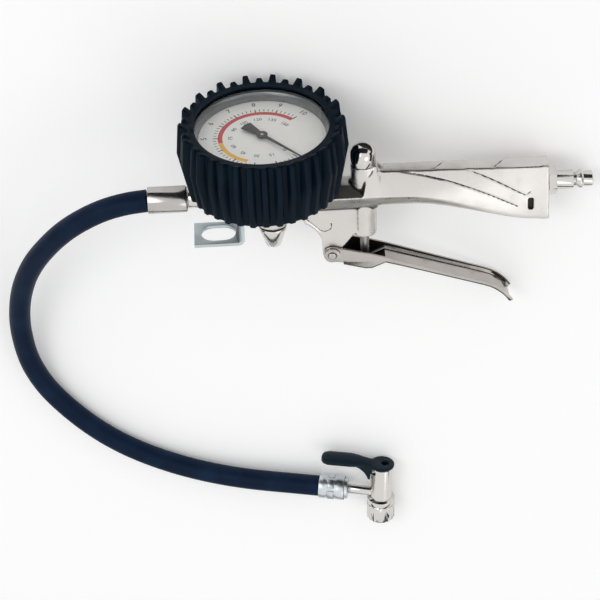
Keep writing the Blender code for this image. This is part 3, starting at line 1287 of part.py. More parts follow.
def chuck_lever(axis):
    """The thumb lever: a head over the barrel's end, a paddle above the hose, and a tongue in the barrel's slot."""
    head_low = CHUCK_PIN_DROP + HEAD_GAP
    head_high = head_low + HEAD_THICKNESS
    head_x = -CHUCK_PIN_X
    rings = [
        (head_low, HEAD_RADIUS - 0.4 * MM, ROUND),
        (head_low + 0.4 * MM, HEAD_RADIUS, ROUND),
        (head_high - 0.6 * MM, HEAD_RADIUS, ROUND),
        (head_high, HEAD_RADIUS - 0.8 * MM, ROUND),
    ]
    lever = add("chuck_lever", stacked(rings), LEVER_PLASTIC, axis)
    lever.data.transform(Matrix.Translation((head_x, 0.0, 0.0)))
    thick = PADDLE_HALF_THICKNESS
    wide = PADDLE_HALF_WIDTH
    middle = mix(head_low, head_high, 0.5)
    rise = CHUCK_PIN_DROP + 2.4 * MM
    sections = [
        (0.0 * MM, middle, 0.3 * thick, 0.64 * wide),
        (-3.5 * MM, mix(middle, rise, 0.15), 0.6 * thick, 0.68 * wide),
        (-7.5 * MM, mix(middle, rise, 0.5), 0.8 * thick, 0.72 * wide),
        (-11.0 * MM, mix(middle, rise, 0.85), 0.92 * thick, 0.88 * wide),
        (-15.0 * MM, rise, thick, wide),
        (4.6 * MM - PADDLE_LENGTH, rise, thick, wide),
        (1.6 * MM - PADDLE_LENGTH, rise, 0.88 * thick, 0.8 * wide),
        (0.3 * MM - PADDLE_LENGTH, rise, 0.6 * thick, 0.48 * wide),
        (-PADDLE_LENGTH, rise, 0.32 * thick, 0.24 * wide),
    ]
    paddle = loft([paddle_ring(*section) for section in sections])
    combine(lever, add("paddle_form", paddle, LEVER_PLASTIC, axis), "UNION")
    skirt = CHUCK_PIN_X + BARREL_RADIUS
    low = -CHUCK_SLOT_DEPTH + CHUCK_PIN_DROP + 1.4 * MM
    tongue = 2.9 * MM
    outline = [(-15.0 * MM, rise), (-15.0 * MM, rise - 2.4 * MM), (-9.6 * MM, 0.8 * MM), (-6.4 * MM, -2.0 * MM)]
    outline += [(-4.8 * MM, -4.6 * MM), (-3.9 * MM, low), (-skirt - 0.4 * MM, low), (-skirt - 0.4 * MM, -tongue)]
    outline += arc((0.0, 0.0), tongue, 270, 360, 4) + [(tongue, middle), (-3.0 * MM, middle)]
    web = upright_prism(outline, CHUCK_SLOT_HALF - SEAT)
    combine(lever, add("web_form", web, LEVER_PLASTIC, axis), "UNION")
    reach = CHUCK_SLOT_HALF + 2 * MM
    hole = bore("head_cut", HEAD_HOLE, middle - 4 * MM, middle + 4 * MM, axis, (head_x + 2 * MM, 0, 0))
    pin = bore("tongue_pin_cut", CHUCK_PIN_RADIUS + RUN, -reach, reach, axis, (0, 0, 0), ALONG_Y)
    combine(lever, hole, "DIFFERENCE")
    combine(lever, pin, "DIFFERENCE")


def chuck_lever_pin(chuck):
    """The plain pin through the barrel and the lever's tongue."""
    half = math.sqrt(BARREL_RADIUS**2 - (CHUCK_PIN_X - CHUCK_PIN_RADIUS) ** 2) - 0.1 * MM
    pin = stacked(rod_rings(CHUCK_PIN_RADIUS, -half, half), FEW_STEPS)
    add("chuck_lever_pin", pin, STEEL, chuck, (CHUCK_PIN_X, 0.0, PIN_HEIGHT), ALONG_Y)


# Hose: it leaves the gun raised, sinks to the table in a wide bend, and runs along it to the chuck
HOSE_POINTS = (
    (-160.8, 5.4, 59.8), (-172.4, -0.7, 58.6), (-184.3, -10.0, 55.6), (-196.5, -22.7, 50.5),
    (-207.8, -37.8, 43.8), (-217.2, -55.4, 36.2), (-224.6, -75.4, 28.4), (-228.4, -94.6, 21.6),
    (-229.9, -113.6, 15.9), (-228.0, -130.0, 11.6), (-223.8, -144.6, 8.9), (-210.6, -166.1, 6.9),
    (-195.1, -181.0, 6.8), (-178.9, -192.3, 6.8), (-161.5, -200.7, 6.8), (-142.4, -208.3, 6.8),
    (-119.5, -213.9, 7.0), (-94.4, -216.2, 7.6),
)
HOSE_LEAD = 13.0 * MM
HOSE_SPACING = 17.0 * MM


def smooth_through(points):
    """Close points on a smooth curve through points."""
    padded = [points[0] * 2 - points[1], *points, points[-1] * 2 - points[-2]]
    count = 12
    found = []
    for before, first, second, after in zip(padded, padded[1:], padded[2:], padded[3:]):
        for index in range(count):
            t = index / count
            bend = 2 * before - 5 * first + 4 * second - after
            twist = 3 * first - before - 3 * second + after
            found.append(first + ((second - before) * t + bend * t * t + twist * t * t * t) / 2)
    return found + [points[-1]]


def spread_along(points, spacing):
    """Points at about this spacing along a line of close points, with both of its ends."""
    lengths = [0.0]
    for first, second in zip(points, points[1:]):
        lengths.append(lengths[-1] + (second - first).length)
    count = round(lengths[-1] / spacing)
    found = []
    place = 0
    for index in range(count + 1):
        target = lengths[-1] * index / count
        while place < len(points) - 2 and lengths[place + 1] < target:
            place += 1
        share = (target - lengths[place]) / (lengths[place + 1] - lengths[place])
        found.append(points[place].lerp(points[place + 1], min(share, 1.0)))
    return found


def air_hose(gun, chuck):
    """The hose from the gun's sleeve to the chuck's ferrule."""
    exits = (gun.matrix_world, HOSE_EXIT_X - SEAT), (chuck.matrix_world, FERRULE_END_X - SEAT)
    ends = [frame @ Vector((x, 0.0, 0.0)) for frame, x in exits]
    leads = [frame @ Vector((x - HOSE_LEAD, 0.0, 0.0)) for frame, x in exits]
    route = [Vector(point) * MM for point in HOSE_POINTS]
    line = smooth_through([leads[0], *route, leads[1]])
    points = [ends[0], *spread_along(line, HOSE_SPACING), ends[1]]
    length = sum((second - first).length for first, second in zip(points, points[1:]))
    print(f"air_hose length {length / MM:.0f} mm in {len(points)} points")
    tube("air_hose", points, HOSE_RADIUS, 3, HOSE_RUBBER, None)


def chuck_and_hose(gun):
    """The lock-on chuck where it lies on the table, and the hose that joins it to the gun."""
    chuck = empty("chuck", None, CHUCK_PLACE)
    chuck.rotation_euler = CHUCK_TURN
    bpy.context.view_layer.update()
    lever_axis = empty("chuck_lever_axis", chuck, (CHUCK_PIN_X, 0.0, PIN_HEIGHT))
    plunger_axis = empty("plunger_axis", chuck)
    chuck_barrel(chuck)
    chuck_nut(chuck)
    chuck_plunger(plunger_axis)
    chuck_tail(chuck)
    chuck_lever(lever_axis)
    chuck_lever_pin(chuck)
    air_hose(gun, chuck)


def main():
    """Builds the gun, lays it down, and adds the hose and the chuck."""
    clear_scene()
    gun = empty("gun")
    lever_axis = empty("lever_axis", gun, (PIVOT_X, 0.0, PIVOT_Z))
    stem_axis = empty("stem_axis", gun, (VALVE_X, 0.0, 0.0))
    pointer_axis = empty("pointer_axis", gun)
    sector_axis = empty("sector_axis", gun, (SECTOR_X, 0.0, 0.0))
    casting = body_casting(gun)
    valve_cap(gun)
    valve_parts(gun, stem_axis)
    lever = trigger_lever(lever_axis)
    trigger_pin(gun)
    air_plug(gun)
    bottom_plug(gun)
    hang_bracket(gun)
    hose_fitting(gun)
    gauge(gun, pointer_axis, sector_axis)
    lay_down(gun, (bpy.data.objects["rubber_boot"], lever, casting))
    chuck_and_hose(gun)


if __name__ == "__main__":
    main()
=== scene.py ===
"""Looks of a hand-held tyre inflating gun: plated casting, booted gauge, squeeze lever, hose and chuck.

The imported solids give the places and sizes. Each sub-assembly is a class that dresses its solids, or puts a
finer piece in their place, and the studio at the end gives the floor, the light and the photograph's view.
"""

import json
import logging
import math
from dataclasses import dataclass
from enum import Enum
from typing import Any, Callable, Iterable, Optional, Sequence, Union

import bmesh
import bpy
import numpy as np
from mathutils import Matrix, Vector
from mathutils.bvhtree import BVHTree


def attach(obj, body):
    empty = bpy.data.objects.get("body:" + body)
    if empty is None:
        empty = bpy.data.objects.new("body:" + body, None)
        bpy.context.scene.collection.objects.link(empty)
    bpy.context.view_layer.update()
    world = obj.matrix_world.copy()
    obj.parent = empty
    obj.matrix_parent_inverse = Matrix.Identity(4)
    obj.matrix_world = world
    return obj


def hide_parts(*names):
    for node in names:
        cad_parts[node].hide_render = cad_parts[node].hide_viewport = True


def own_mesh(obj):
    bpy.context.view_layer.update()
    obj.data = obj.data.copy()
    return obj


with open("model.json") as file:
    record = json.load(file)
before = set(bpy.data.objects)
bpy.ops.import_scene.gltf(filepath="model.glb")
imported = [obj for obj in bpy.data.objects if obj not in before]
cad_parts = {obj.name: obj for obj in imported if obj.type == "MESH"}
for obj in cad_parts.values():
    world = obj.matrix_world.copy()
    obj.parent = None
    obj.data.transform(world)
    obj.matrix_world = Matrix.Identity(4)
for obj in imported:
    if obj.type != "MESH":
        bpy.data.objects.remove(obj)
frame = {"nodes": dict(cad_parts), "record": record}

MM = 0.001
HOLLOW = "hollow"
EVEN = "even_normal"
LOG = logging.getLogger("inflating_gun")

# Joining and rounding of a solid's facets
FACET_JOIN = 2e-6
FLAT_WITHIN = math.radians(0.4)
ROUND_BELOW = math.radians(32.0)

# How enclosed a face is: rays from it, their reach and start, and the least slant that counts
SHADE_RAYS = 64
SHADE_REACH = 12.0 * MM
SHADE_CLEAR = 0.02 * MM
SHADE_SLANT = 0.05

# Patterns of the finishes: spots in a metre, and octaves
PLATE_CLOUD = (90.0, 3.0)
PLATE_MARKS = (900.0, 2.0)
RUBBER_DUST = (55.0, 4.0)
RUBBER_GRAIN = (2600.0, 2.0)
HOSE_CLOUD = (70.0, 3.0)
HOSE_PLY = (1500.0, 2.0)
PAINT_CLOUD = (120.0, 3.0)
PAINT_GRAIN = (3000.0, 1.0)
LENS_SMEAR = (60.0, 3.0)
FLOOR_MOTTLE = (6.0, 2.0)
CARD_NAP = (30.0, 2.0)

# Shares of the finishes
HOLLOW_FROM = 0.14
HOLLOW_ROUGHNESS = 0.3
MARK_SHARE = 0.3
RUBBER_SPECULAR = 0.09
LENS_IOR = 1.4
WORLD_UP = (0.0, 0.0, 1.0)

Colour = tuple[float, float, float]


class Body(Enum):
    """The rigid bodies that the new pieces ride on."""

    GUN = "gun"
    TRIGGER = "trigger"
    THUMB_LEVER = "thumb_lever"


class Edge(Enum):
    """How a copied solid's edges are finished: width of the round in metres, and its number of steps."""

    SHARP = (0.0, 0)
    FINE = (0.12 * MM, 2)
    TURNED = (0.25 * MM, 2)
    PRESSED = (0.3 * MM, 3)
    MOULDED = (0.6 * MM, 3)


class Shade:
    """A socket, on which Python's operators add Math nodes."""

    def __init__(self, sheet: "Nodes", socket: bpy.types.NodeSocket) -> None:
        """Wraps a socket.

        Args:
            sheet: The nodes that the socket is among.
            socket: An output socket.
        """
        self.sheet = sheet
        self.socket = socket

    def _math(self, operation: str, *values: Union["Shade", float]) -> "Shade":
        """A Math node on these values."""
        return self.sheet.node("ShaderNodeMath", {"operation": operation}, dict(enumerate(values)))

    def __add__(self, other: Union["Shade", float]) -> "Shade":
        """The sum."""
        return self._math("ADD", self, other)

    __radd__ = __add__

    def __sub__(self, other: Union["Shade", float]) -> "Shade":
        """The difference."""
        return self._math("SUBTRACT", self, other)

    def __rsub__(self, other: float) -> "Shade":
        """The difference, with this value taken from a number."""
        return self._math("SUBTRACT", other, self)

    def __mul__(self, other: Union["Shade", float]) -> "Shade":
        """The product."""
        return self._math("MULTIPLY", self, other)

    __rmul__ = __mul__

    def or_more(self, other: "Shade") -> "Shade":
        """The greater of two values."""
        return self._math("MAXIMUM", self, other)

    def between(self, low: float, high: float) -> "Shade":
        """A smooth share from 0 at low to 1 at high.

        Args:
            low: The value that gives 0.
            high: The value that gives 1.

        Returns:
            The share, held between 0 and 1.
        """
        settings = {"interpolation_type": "SMOOTHSTEP"}
        inputs = {"Value": self, "From Min": low, "From Max": high}
        return self.sheet.node("ShaderNodeMapRange", settings, inputs)


class Nodes:
    """A node tree under construction."""

    def __init__(self, tree: bpy.types.NodeTree) -> None:
        """Keeps the tree.

        Args:
            tree: A material's or a world's nodes.
        """
        self.tree = tree

    def node(
        self,
        kind: str,
        settings: Optional[dict[str, Any]] = None,
        inputs: Optional[dict[Union[str, int], Any]] = None,
        output: Union[str, int] = 0,
    ) -> Shade:
        """Adds a node.

        Args:
            kind: The node's type.
            settings: Its own settings, set first.
            inputs: Values or links of its sockets, by name or number.
            output: The output to hand back.

        Returns:
            That output.
        """
        made = self.tree.nodes.new(kind)
        for key, value in (settings or {}).items():
            setattr(made, key, value)
        for key, value in (inputs or {}).items():
            self.feed(made.inputs[key], value)
        return Shade(self, made.outputs[output])

    def feed(self, socket: bpy.types.NodeSocket, value: Any) -> None:
        """Links a wrapped socket to an input, or sets the input's value."""
        if isinstance(value, Shade):
            self.tree.links.new(value.socket, socket)
        elif isinstance(value, tuple) and len(value) == 3 and socket.type == "RGBA":
            socket.default_value = (*value, 1.0)
        else:
            socket.default_value = value

    def noise(self, scale: float, detail: float) -> Shade:
        """A soft random value from 0 to 1.

        Args:
            scale: Spots in a metre.
            detail: Octaves.

        Returns:
            The value.
        """
        spot = self.node("ShaderNodeTexCoord", output="Object")
        return self.node("ShaderNodeTexNoise", None, {"Vector": spot, "Scale": scale, "Detail": detail})

    def blend(self, first: Any, second: Any, share: Any) -> Shade:
        """A colour between two colours."""
        settings = {"data_type": "RGBA"}
        return self.node("ShaderNodeMix", settings, {0: share, 6: first, 7: second}, output=2)

    def bump(self, height: Shade, depth: float, strength: float = 1.0) -> Shade:
        """A normal bent by a height.

        Args:
            height: The height, from 0 to 1.
            depth: What a height of 1 is, in metres.
            strength: How much of the bend shows.

        Returns:
            The normal.
        """
        inputs = {"Height": height, "Distance": depth, "Strength": strength}
        return self.node("ShaderNodeBump", None, inputs)

    def seen(self) -> Shade:
        """1 for what is seen, in a mirror and through glass too, and 0 for light on a surface."""
        kinds = ("Is Camera Ray", "Is Glossy Ray", "Is Transmission Ray")
        direct, mirrored, through = (self.node("ShaderNodeLightPath", output=kind) for kind in kinds)
        return direct.or_more(mirrored).or_more(through)


class Sheet(Nodes):
    """A material under construction, with one shader for its nodes to feed."""

    def __init__(self, name: str) -> None:
        """Starts an empty material.

        Args:
            name: The material's name.
        """
        self.material = bpy.data.materials.new(name)
        self.material.use_nodes = True
        super().__init__(self.material.node_tree)
        self.shader = self.tree.nodes["Principled BSDF"]
        self.output = self.tree.nodes["Material Output"]

    def finish(self, **inputs: Any) -> bpy.types.Material:
        """Feeds the shader's sockets, whose names have _ for a space, and hands back the material."""
        for key, value in inputs.items():
            self.feed(self.shader.inputs[key.replace("_", " ")], value)
        return self.material


@dataclass(frozen=True)
class PlatedMetal:
    """Bright plate on cast, turned or pressed metal: a faint haze, fine marks, and painted shade that darkens
    its grooves, inner corners and enclosed faces.
    """

    name: str
    colour: Colour
    deep: Colour
    roughness: float
    haze: float
    ripple: float
    ripple_size: float
    # The colour of the painted shade laid in hollows, grooves and enclosed faces.
    painted_shade: Colour = (0.045, 0.040, 0.036)
    dark_at: float = 0.5

    def material(self) -> bpy.types.Material:
        """The finish as a material."""
        sheet = Sheet(self.name)
        cloud = sheet.noise(*PLATE_CLOUD)
        marks = sheet.noise(*PLATE_MARKS)
        # The painted shade's share: how deep a point lies in a groove or corner, or how enclosed a face is.
        depth = sheet.node("ShaderNodeAttribute", {"attribute_name": HOLLOW}, output="Fac")
        hollow = depth.between(HOLLOW_FROM, self.dark_at)
        haze = self.haze * (cloud.between(0.35, 0.75) + MARK_SHARE * marks)
        plate = sheet.blend(self.colour, self.deep, cloud.between(0.5, 0.9))
        swell = sheet.noise(1.0 / self.ripple_size, 1.0)
        return sheet.finish(
            # Painted shade: hollows and enclosed faces are blended towards a dark colour.
            Base_Color=sheet.blend(plate, self.painted_shade, hollow),
            Metallic=1.0,
            Roughness=self.roughness + haze + HOLLOW_ROUGHNESS * hollow,
            Normal=sheet.bump(swell, self.ripple),
        )


@dataclass(frozen=True)
class MouldedRubber:
    """Moulded rubber: near black, slightly blue, with a fine grain and dusty worn tops."""

    name: str
    colour: Colour
    worn: Colour
    roughness: float
    grain: float

    def material(self) -> bpy.types.Material:
        """The finish as a material."""
        sheet = Sheet(self.name)
        dust = sheet.noise(*RUBBER_DUST)
        fine = sheet.noise(*RUBBER_GRAIN)
        return sheet.finish(
            Base_Color=sheet.blend(self.colour, self.worn, dust.between(0.45, 0.85)),
            Roughness=self.roughness + 0.14 * dust - 0.05 * fine,
            Specular_IOR_Level=RUBBER_SPECULAR,
            Normal=sheet.bump(fine, self.grain, 0.6),
        )


@dataclass(frozen=True)
class HoseRubber:
    """Extruded hose rubber, smooth along its run, with the faint weave of its ply showing through."""

    name: str
    colour: Colour
    sheen: Colour
    roughness: float
    weave: float = 0.05 * MM

    def material(self) -> bpy.types.Material:
        """The finish as a material."""
        sheet = Sheet(self.name)
        cloud = sheet.noise(*HOSE_CLOUD)
        ply = sheet.noise(*HOSE_PLY)
        return sheet.finish(
            Base_Color=sheet.blend(self.colour, self.sheen, cloud.between(0.4, 0.8)),
            Roughness=self.roughness + 0.12 * cloud,
            Specular_IOR_Level=RUBBER_SPECULAR,
            Normal=sheet.bump(ply, self.weave, 0.5),
        )


@dataclass(frozen=True)
class PaintedFace:
    """Even paint or print with a slight mottle."""

    name: str
    colour: Colour
    shade: Colour
    roughness: float
    metallic: float = 0.0
    tooth: float = 0.01 * MM

    def material(self) -> bpy.types.Material:
        """The finish as a material."""
        sheet = Sheet(self.name)
        cloud = sheet.noise(*PAINT_CLOUD)
        fine = sheet.noise(*PAINT_GRAIN)
        return sheet.finish(
            Base_Color=sheet.blend(self.colour, self.shade, cloud.between(0.4, 0.85)),
            Metallic=self.metallic,
            Roughness=self.roughness + 0.08 * cloud,
            Normal=sheet.bump(fine, self.tooth, 0.4),
        )


@dataclass(frozen=True)
class ClearLens:
    """The gauge's clear window: it lets the dial through and shows a soft shine at a slant."""

    name: str
    tint: Colour
    roughness: float

    def material(self) -> bpy.types.Material:
        """The finish as a material."""
        sheet = Sheet(self.name)
        smear = sheet.noise(*LENS_SMEAR)
        through = sheet.node("ShaderNodeBsdfTransparent", None, {"Color": self.tint})
        gloss = {"Color": (1.0, 1.0, 1.0), "Roughness": self.roughness}
        shine = sheet.node("ShaderNodeBsdfGlossy", None, gloss)
        slant = sheet.node("ShaderNodeFresnel", None, {"IOR": LENS_IOR})
        inside = sheet.node("ShaderNodeNewGeometry", output="Backfacing")
        share = slant * (1.0 - inside) * (0.75 + 0.2 * smear)
        mixed = sheet.node("ShaderNodeMixShader", None, {0: share, 1: through, 2: shine})
        sheet.feed(sheet.output.inputs["Surface"], mixed)
        sheet.tree.nodes.remove(sheet.shader)
        return sheet.material


Finish = Union[PlatedMetal, MouldedRubber, HoseRubber, PaintedFace, ClearLens]

CAST_NICKEL = PlatedMetal(
    "cast_nickel", (0.66, 0.635, 0.605), (0.57, 0.545, 0.515), 0.26, 0.08, 0.00001, 0.004
)
BRIGHT_NICKEL = PlatedMetal(
    "bright_nickel", (0.67, 0.645, 0.615), (0.56, 0.535, 0.505), 0.07, 0.08, 0.00001, 0.004
)
TURNED_NICKEL = PlatedMetal(
    "turned_nickel", (0.66, 0.64, 0.61), (0.55, 0.53, 0.50), 0.12, 0.10, 0.00001, 0.002
)
PRESSED_STEEL = PlatedMetal(
    "pressed_steel", (0.50, 0.47, 0.44), (0.37, 0.345, 0.32), 0.11, 0.10, 0.00002, 0.006, dark_at=0.31
)
CRIMPED_NICKEL = PlatedMetal(
    "crimped_nickel", (0.50, 0.48, 0.46), (0.42, 0.40, 0.38), 0.16, 0.10, 0.00001, 0.002
)
ZINC = PlatedMetal("zinc_plate", (0.52, 0.58, 0.60), (0.42, 0.48, 0.51), 0.30, 0.14, 0.00002, 0.002)
BRIGHT_ZINC = PlatedMetal(
    "bright_zinc", (0.64, 0.68, 0.70), (0.54, 0.58, 0.61), 0.25, 0.12, 0.00002, 0.002
)
BRASS = PlatedMetal("turned_brass", (0.76, 0.58, 0.27), (0.62, 0.45, 0.19), 0.24, 0.14, 0.00001, 0.002)
SPRING_STEEL = PlatedMetal(
    "spring_steel", (0.46, 0.44, 0.42), (0.36, 0.34, 0.32), 0.26, 0.14, 0.00001, 0.002
)
BOOT_RUBBER = MouldedRubber(
    "boot_rubber", (0.0010, 0.0068, 0.0150), (0.0030, 0.0120, 0.0230), 0.44, 0.00006
)
SEAL_RUBBER = MouldedRubber("seal_rubber", (0.010, 0.010, 0.011), (0.020, 0.020, 0.021), 0.52, 0.00003)
LEVER_PLASTIC = MouldedRubber(
    "lever_plastic", (0.0085, 0.0175, 0.0275), (0.0130, 0.0240, 0.0350), 0.30, 0.00002
)
HOSE_RUBBER = HoseRubber("hose_rubber", (0.0028, 0.0115, 0.0330), (0.0060, 0.0205, 0.0520), 0.42)
CASE_PAINT = PaintedFace("case_paint", (0.016, 0.017, 0.020), (0.026, 0.027, 0.030), 0.36)
BEZEL_GREY = PaintedFace("bezel_grey", (0.19, 0.20, 0.21), (0.25, 0.26, 0.27), 0.20, 0.7)
DIAL_WHITE = PaintedFace("dial_white", (0.84, 0.835, 0.82), (0.79, 0.785, 0.77), 0.45)
POINTER_BLACK = PaintedFace("pointer_black", (0.018, 0.018, 0.020), (0.030, 0.030, 0.032), 0.40)
PRINT_BLACK = PaintedFace("print_black", (0.022, 0.024, 0.028), (0.040, 0.042, 0.046), 0.50)
PRINT_BLUE = PaintedFace("print_blue", (0.028, 0.036, 0.075), (0.045, 0.053, 0.095), 0.50)
PRINT_RED = PaintedFace("print_red", (0.56, 0.055, 0.060), (0.48, 0.045, 0.050), 0.48)
PRINT_YELLOW = PaintedFace("print_yellow", (0.84, 0.47, 0.050), (0.78, 0.42, 0.040), 0.48)
LENS = ClearLens("clear_lens", (0.98, 0.98, 0.975), 0.03)


class Frame:
    """A set of axes in the shared frame, given by its origin and two of its directions."""

    def __init__(self, origin: Sequence[float], along: Sequence[float], up: Sequence[float]) -> None:
        """Makes the axes square to each other.

        Args:
            origin: Where the axes meet, in metres.
            along: The way of +X.
            up: The way of +Z.
        """
        z = Vector(up).normalized()
        x = Vector(along).normalized()
        y = z.cross(x)
        self.matrix = Matrix((x, y, z)).transposed().to_4x4()
        self.matrix.translation = Vector(origin)


def named(items: Iterable[dict[str, Any]], name: str) -> dict[str, Any]:
    """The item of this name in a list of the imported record."""
    return next(item for item in items if item["name"] == name)


def gun_frame() -> Frame:
    """The gun's own axes: the gauge's axis is +Z, and +X runs along the grip to the air plug."""
    record = frame["record"]
    axle = named(record["behaviour"]["joints"], "pointer_hinge")
    plug = named(record["mounts"], "air_line_plug")
    return Frame(axle["pos_m"], plug["axis"], [-part for part in axle["axis"]])


class Paintbox:
    """Keeps one material for each finish."""

    def __init__(self) -> None:
        """Starts with no material."""
        self.made: dict[str, bpy.types.Material] = {}

    def get(self, finish: Finish) -> bpy.types.Material:
        """The finish's material, made at its first use."""
        if finish.name not in self.made:
            self.made[finish.name] = finish.material()
        return self.made[finish.name]


class Assembly:
    """What the sub-assemblies share: dressing solids, copying them finely and adding new pieces."""

    def __init__(self, paints: Paintbox) -> None:
        """Keeps the paints.

        Args:
            paints: Where the materials come from.
        """
        self.paints = paints

    def dress(self, finish: Finish, *nodes: str) -> None:
        """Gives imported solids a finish.

        Args:
            finish: The finish.
            nodes: The solids' names.
        """
        for name in nodes:
            solid = packed(name)
            for slot in solid.material_slots:
                slot.material = self.paints.get(finish)
            LOG.info("dressed %s", name)

    def add(self, name: str, bm: bmesh.types.BMesh, finish: Finish, body: Body) -> bpy.types.Object:
        """Makes a mesh a piece that rides on a body.

        Args:
            name: The piece's name.
            bm: Its mesh, which is used up.
            finish: Its finish.
            body: What it moves with.

        Returns:
            The piece.
        """
        mesh = bpy.data.meshes.new(name)
        bm.to_mesh(mesh)
        bm.free()
        piece = bpy.data.objects.new(name, mesh)
        bpy.context.scene.collection.objects.link(piece)
        mesh.materials.append(self.paints.get(finish))
        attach(piece, body.value)
        LOG.info("made %s", name)
        return piece

    def merged(self, node: str) -> bmesh.types.BMesh:
        """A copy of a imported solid's mesh, with its corners joined and its flat faces whole."""
        bm = bmesh.new()
        bm.from_mesh(packed(node).data)
        bmesh.ops.remove_doubles(bm, verts=bm.verts, dist=FACET_JOIN)
        bmesh.ops.dissolve_limit(
            bm, angle_limit=FLAT_WITHIN, verts=bm.verts, edges=bm.edges, delimit={"NORMAL"}
        )
        return bm

    def refine(
        self,
        node: str,
        finish: Finish,
        body: Body,
        edge: Edge,
        work: Optional[Callable[[bmesh.types.BMesh], None]] = None,
    ) -> bpy.types.Object:
        """Puts a smooth-shaded copy with rounded edges in a solid's place.

        Args:
            node: The solid.
            finish: The copy's finish.
            body: What it moves with.
            edge: How its edges are rounded.
            work: What is done to the copy first.

        Returns:
            The copy.
        """
        bm = self.merged(node)
        if work:
            work(bm)
        mark_enclosed(bm)
        piece = self.add(f"{node}_finish", bm, finish, body)
        soften(piece, edge)
        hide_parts(node)
        return piece


def packed(name: str) -> bpy.types.Object:
    """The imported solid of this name."""
    return frame["nodes"][name]


def taken(items: bpy.types.bpy_prop_collection, field: str, width: int, kind: type) -> np.ndarray:
    """A field of a mesh's points or edges, one row each."""
    found = np.empty(len(items) * width, dtype=kind)
    items.foreach_get(field, found)
    return found.reshape(-1, width)


def spread(values: np.ndarray, ends: np.ndarray, shares: np.ndarray, rounds: int) -> np.ndarray:
    """Evens the values of a mesh's points out along its edges.

    Args:
        values: A row for each point.
        ends: The two points of each edge.
        shares: How much of a value each edge lets through, from 0 to 1.
        rounds: How often a point takes in its neighbours.

    Returns:
        The evened values.
    """
    first, second = ends.T
    count = len(values)
    weight = 1.0 + np.bincount(first, shares, count) + np.bincount(second, shares, count)
    for _ in range(rounds):
        total = values.copy()
        for axis in range(values.shape[1]):
            total[:, axis] += np.bincount(first, shares * values[second, axis], count)
            total[:, axis] += np.bincount(second, shares * values[first, axis], count)
        values = total / weight[:, None]
    return values


def mark_enclosed(bm: bmesh.types.BMesh) -> None:
    """Marks each face with the share of the space before it that its own piece fills; the plated finishes
    paint shade by this share.

    Args:
        bm: A closed mesh.
    """
    tree = BVHTree.FromBMesh(bm)
    golden = math.pi * (3.0 - math.sqrt(5.0))
    heights = [1.0 - (2 * index + 1) / SHADE_RAYS for index in range(SHADE_RAYS)]
    ways = []
    for index, z in enumerate(heights):
        flat = math.sqrt(1.0 - z * z)
        ways.append(Vector((flat * math.cos(golden * index), flat * math.sin(golden * index), z)))
    layer = bm.faces.layers.float.new(HOLLOW)
    for face in bm.faces:
        start = face.calc_center_median() + face.normal * SHADE_CLEAR
        out = [way for way in ways if way.dot(face.normal) > SHADE_SLANT]
        hits = [way for way in out if tree.ray_cast(start, way, SHADE_REACH)[0]]
        face[layer] = sum(way.dot(face.normal) for way in hits) / sum(way.dot(face.normal) for way in out)


def settle(piece: bpy.types.Object) -> None:
    """Makes what a piece's modifiers give its mesh."""
    shaped = piece.evaluated_get(bpy.context.evaluated_depsgraph_get())
    piece.data = bpy.data.meshes.new_from_object(shaped)
    piece.modifiers.clear()


def soften(piece: bpy.types.Object, edge: Edge) -> None:
    """Rounds a piece's sharp edges, and shades the rest smooth.

    Args:
        piece: The piece.
        edge: The round's width and steps.
    """
    width, steps = edge.value
    for face in piece.data.polygons:
        face.use_smooth = True
    if steps:
        bevel = piece.modifiers.new("edge_round", "BEVEL")
        bevel.width = width
        bevel.segments = steps
        bevel.profile = 0.5
        bevel.limit_method = "ANGLE"
        bevel.angle_limit = ROUND_BELOW
        bevel.harden_normals = True
        bevel.miter_outer = "MITER_ARC"
    else:
        piece.data.set_sharp_from_angle(angle=ROUND_BELOW)


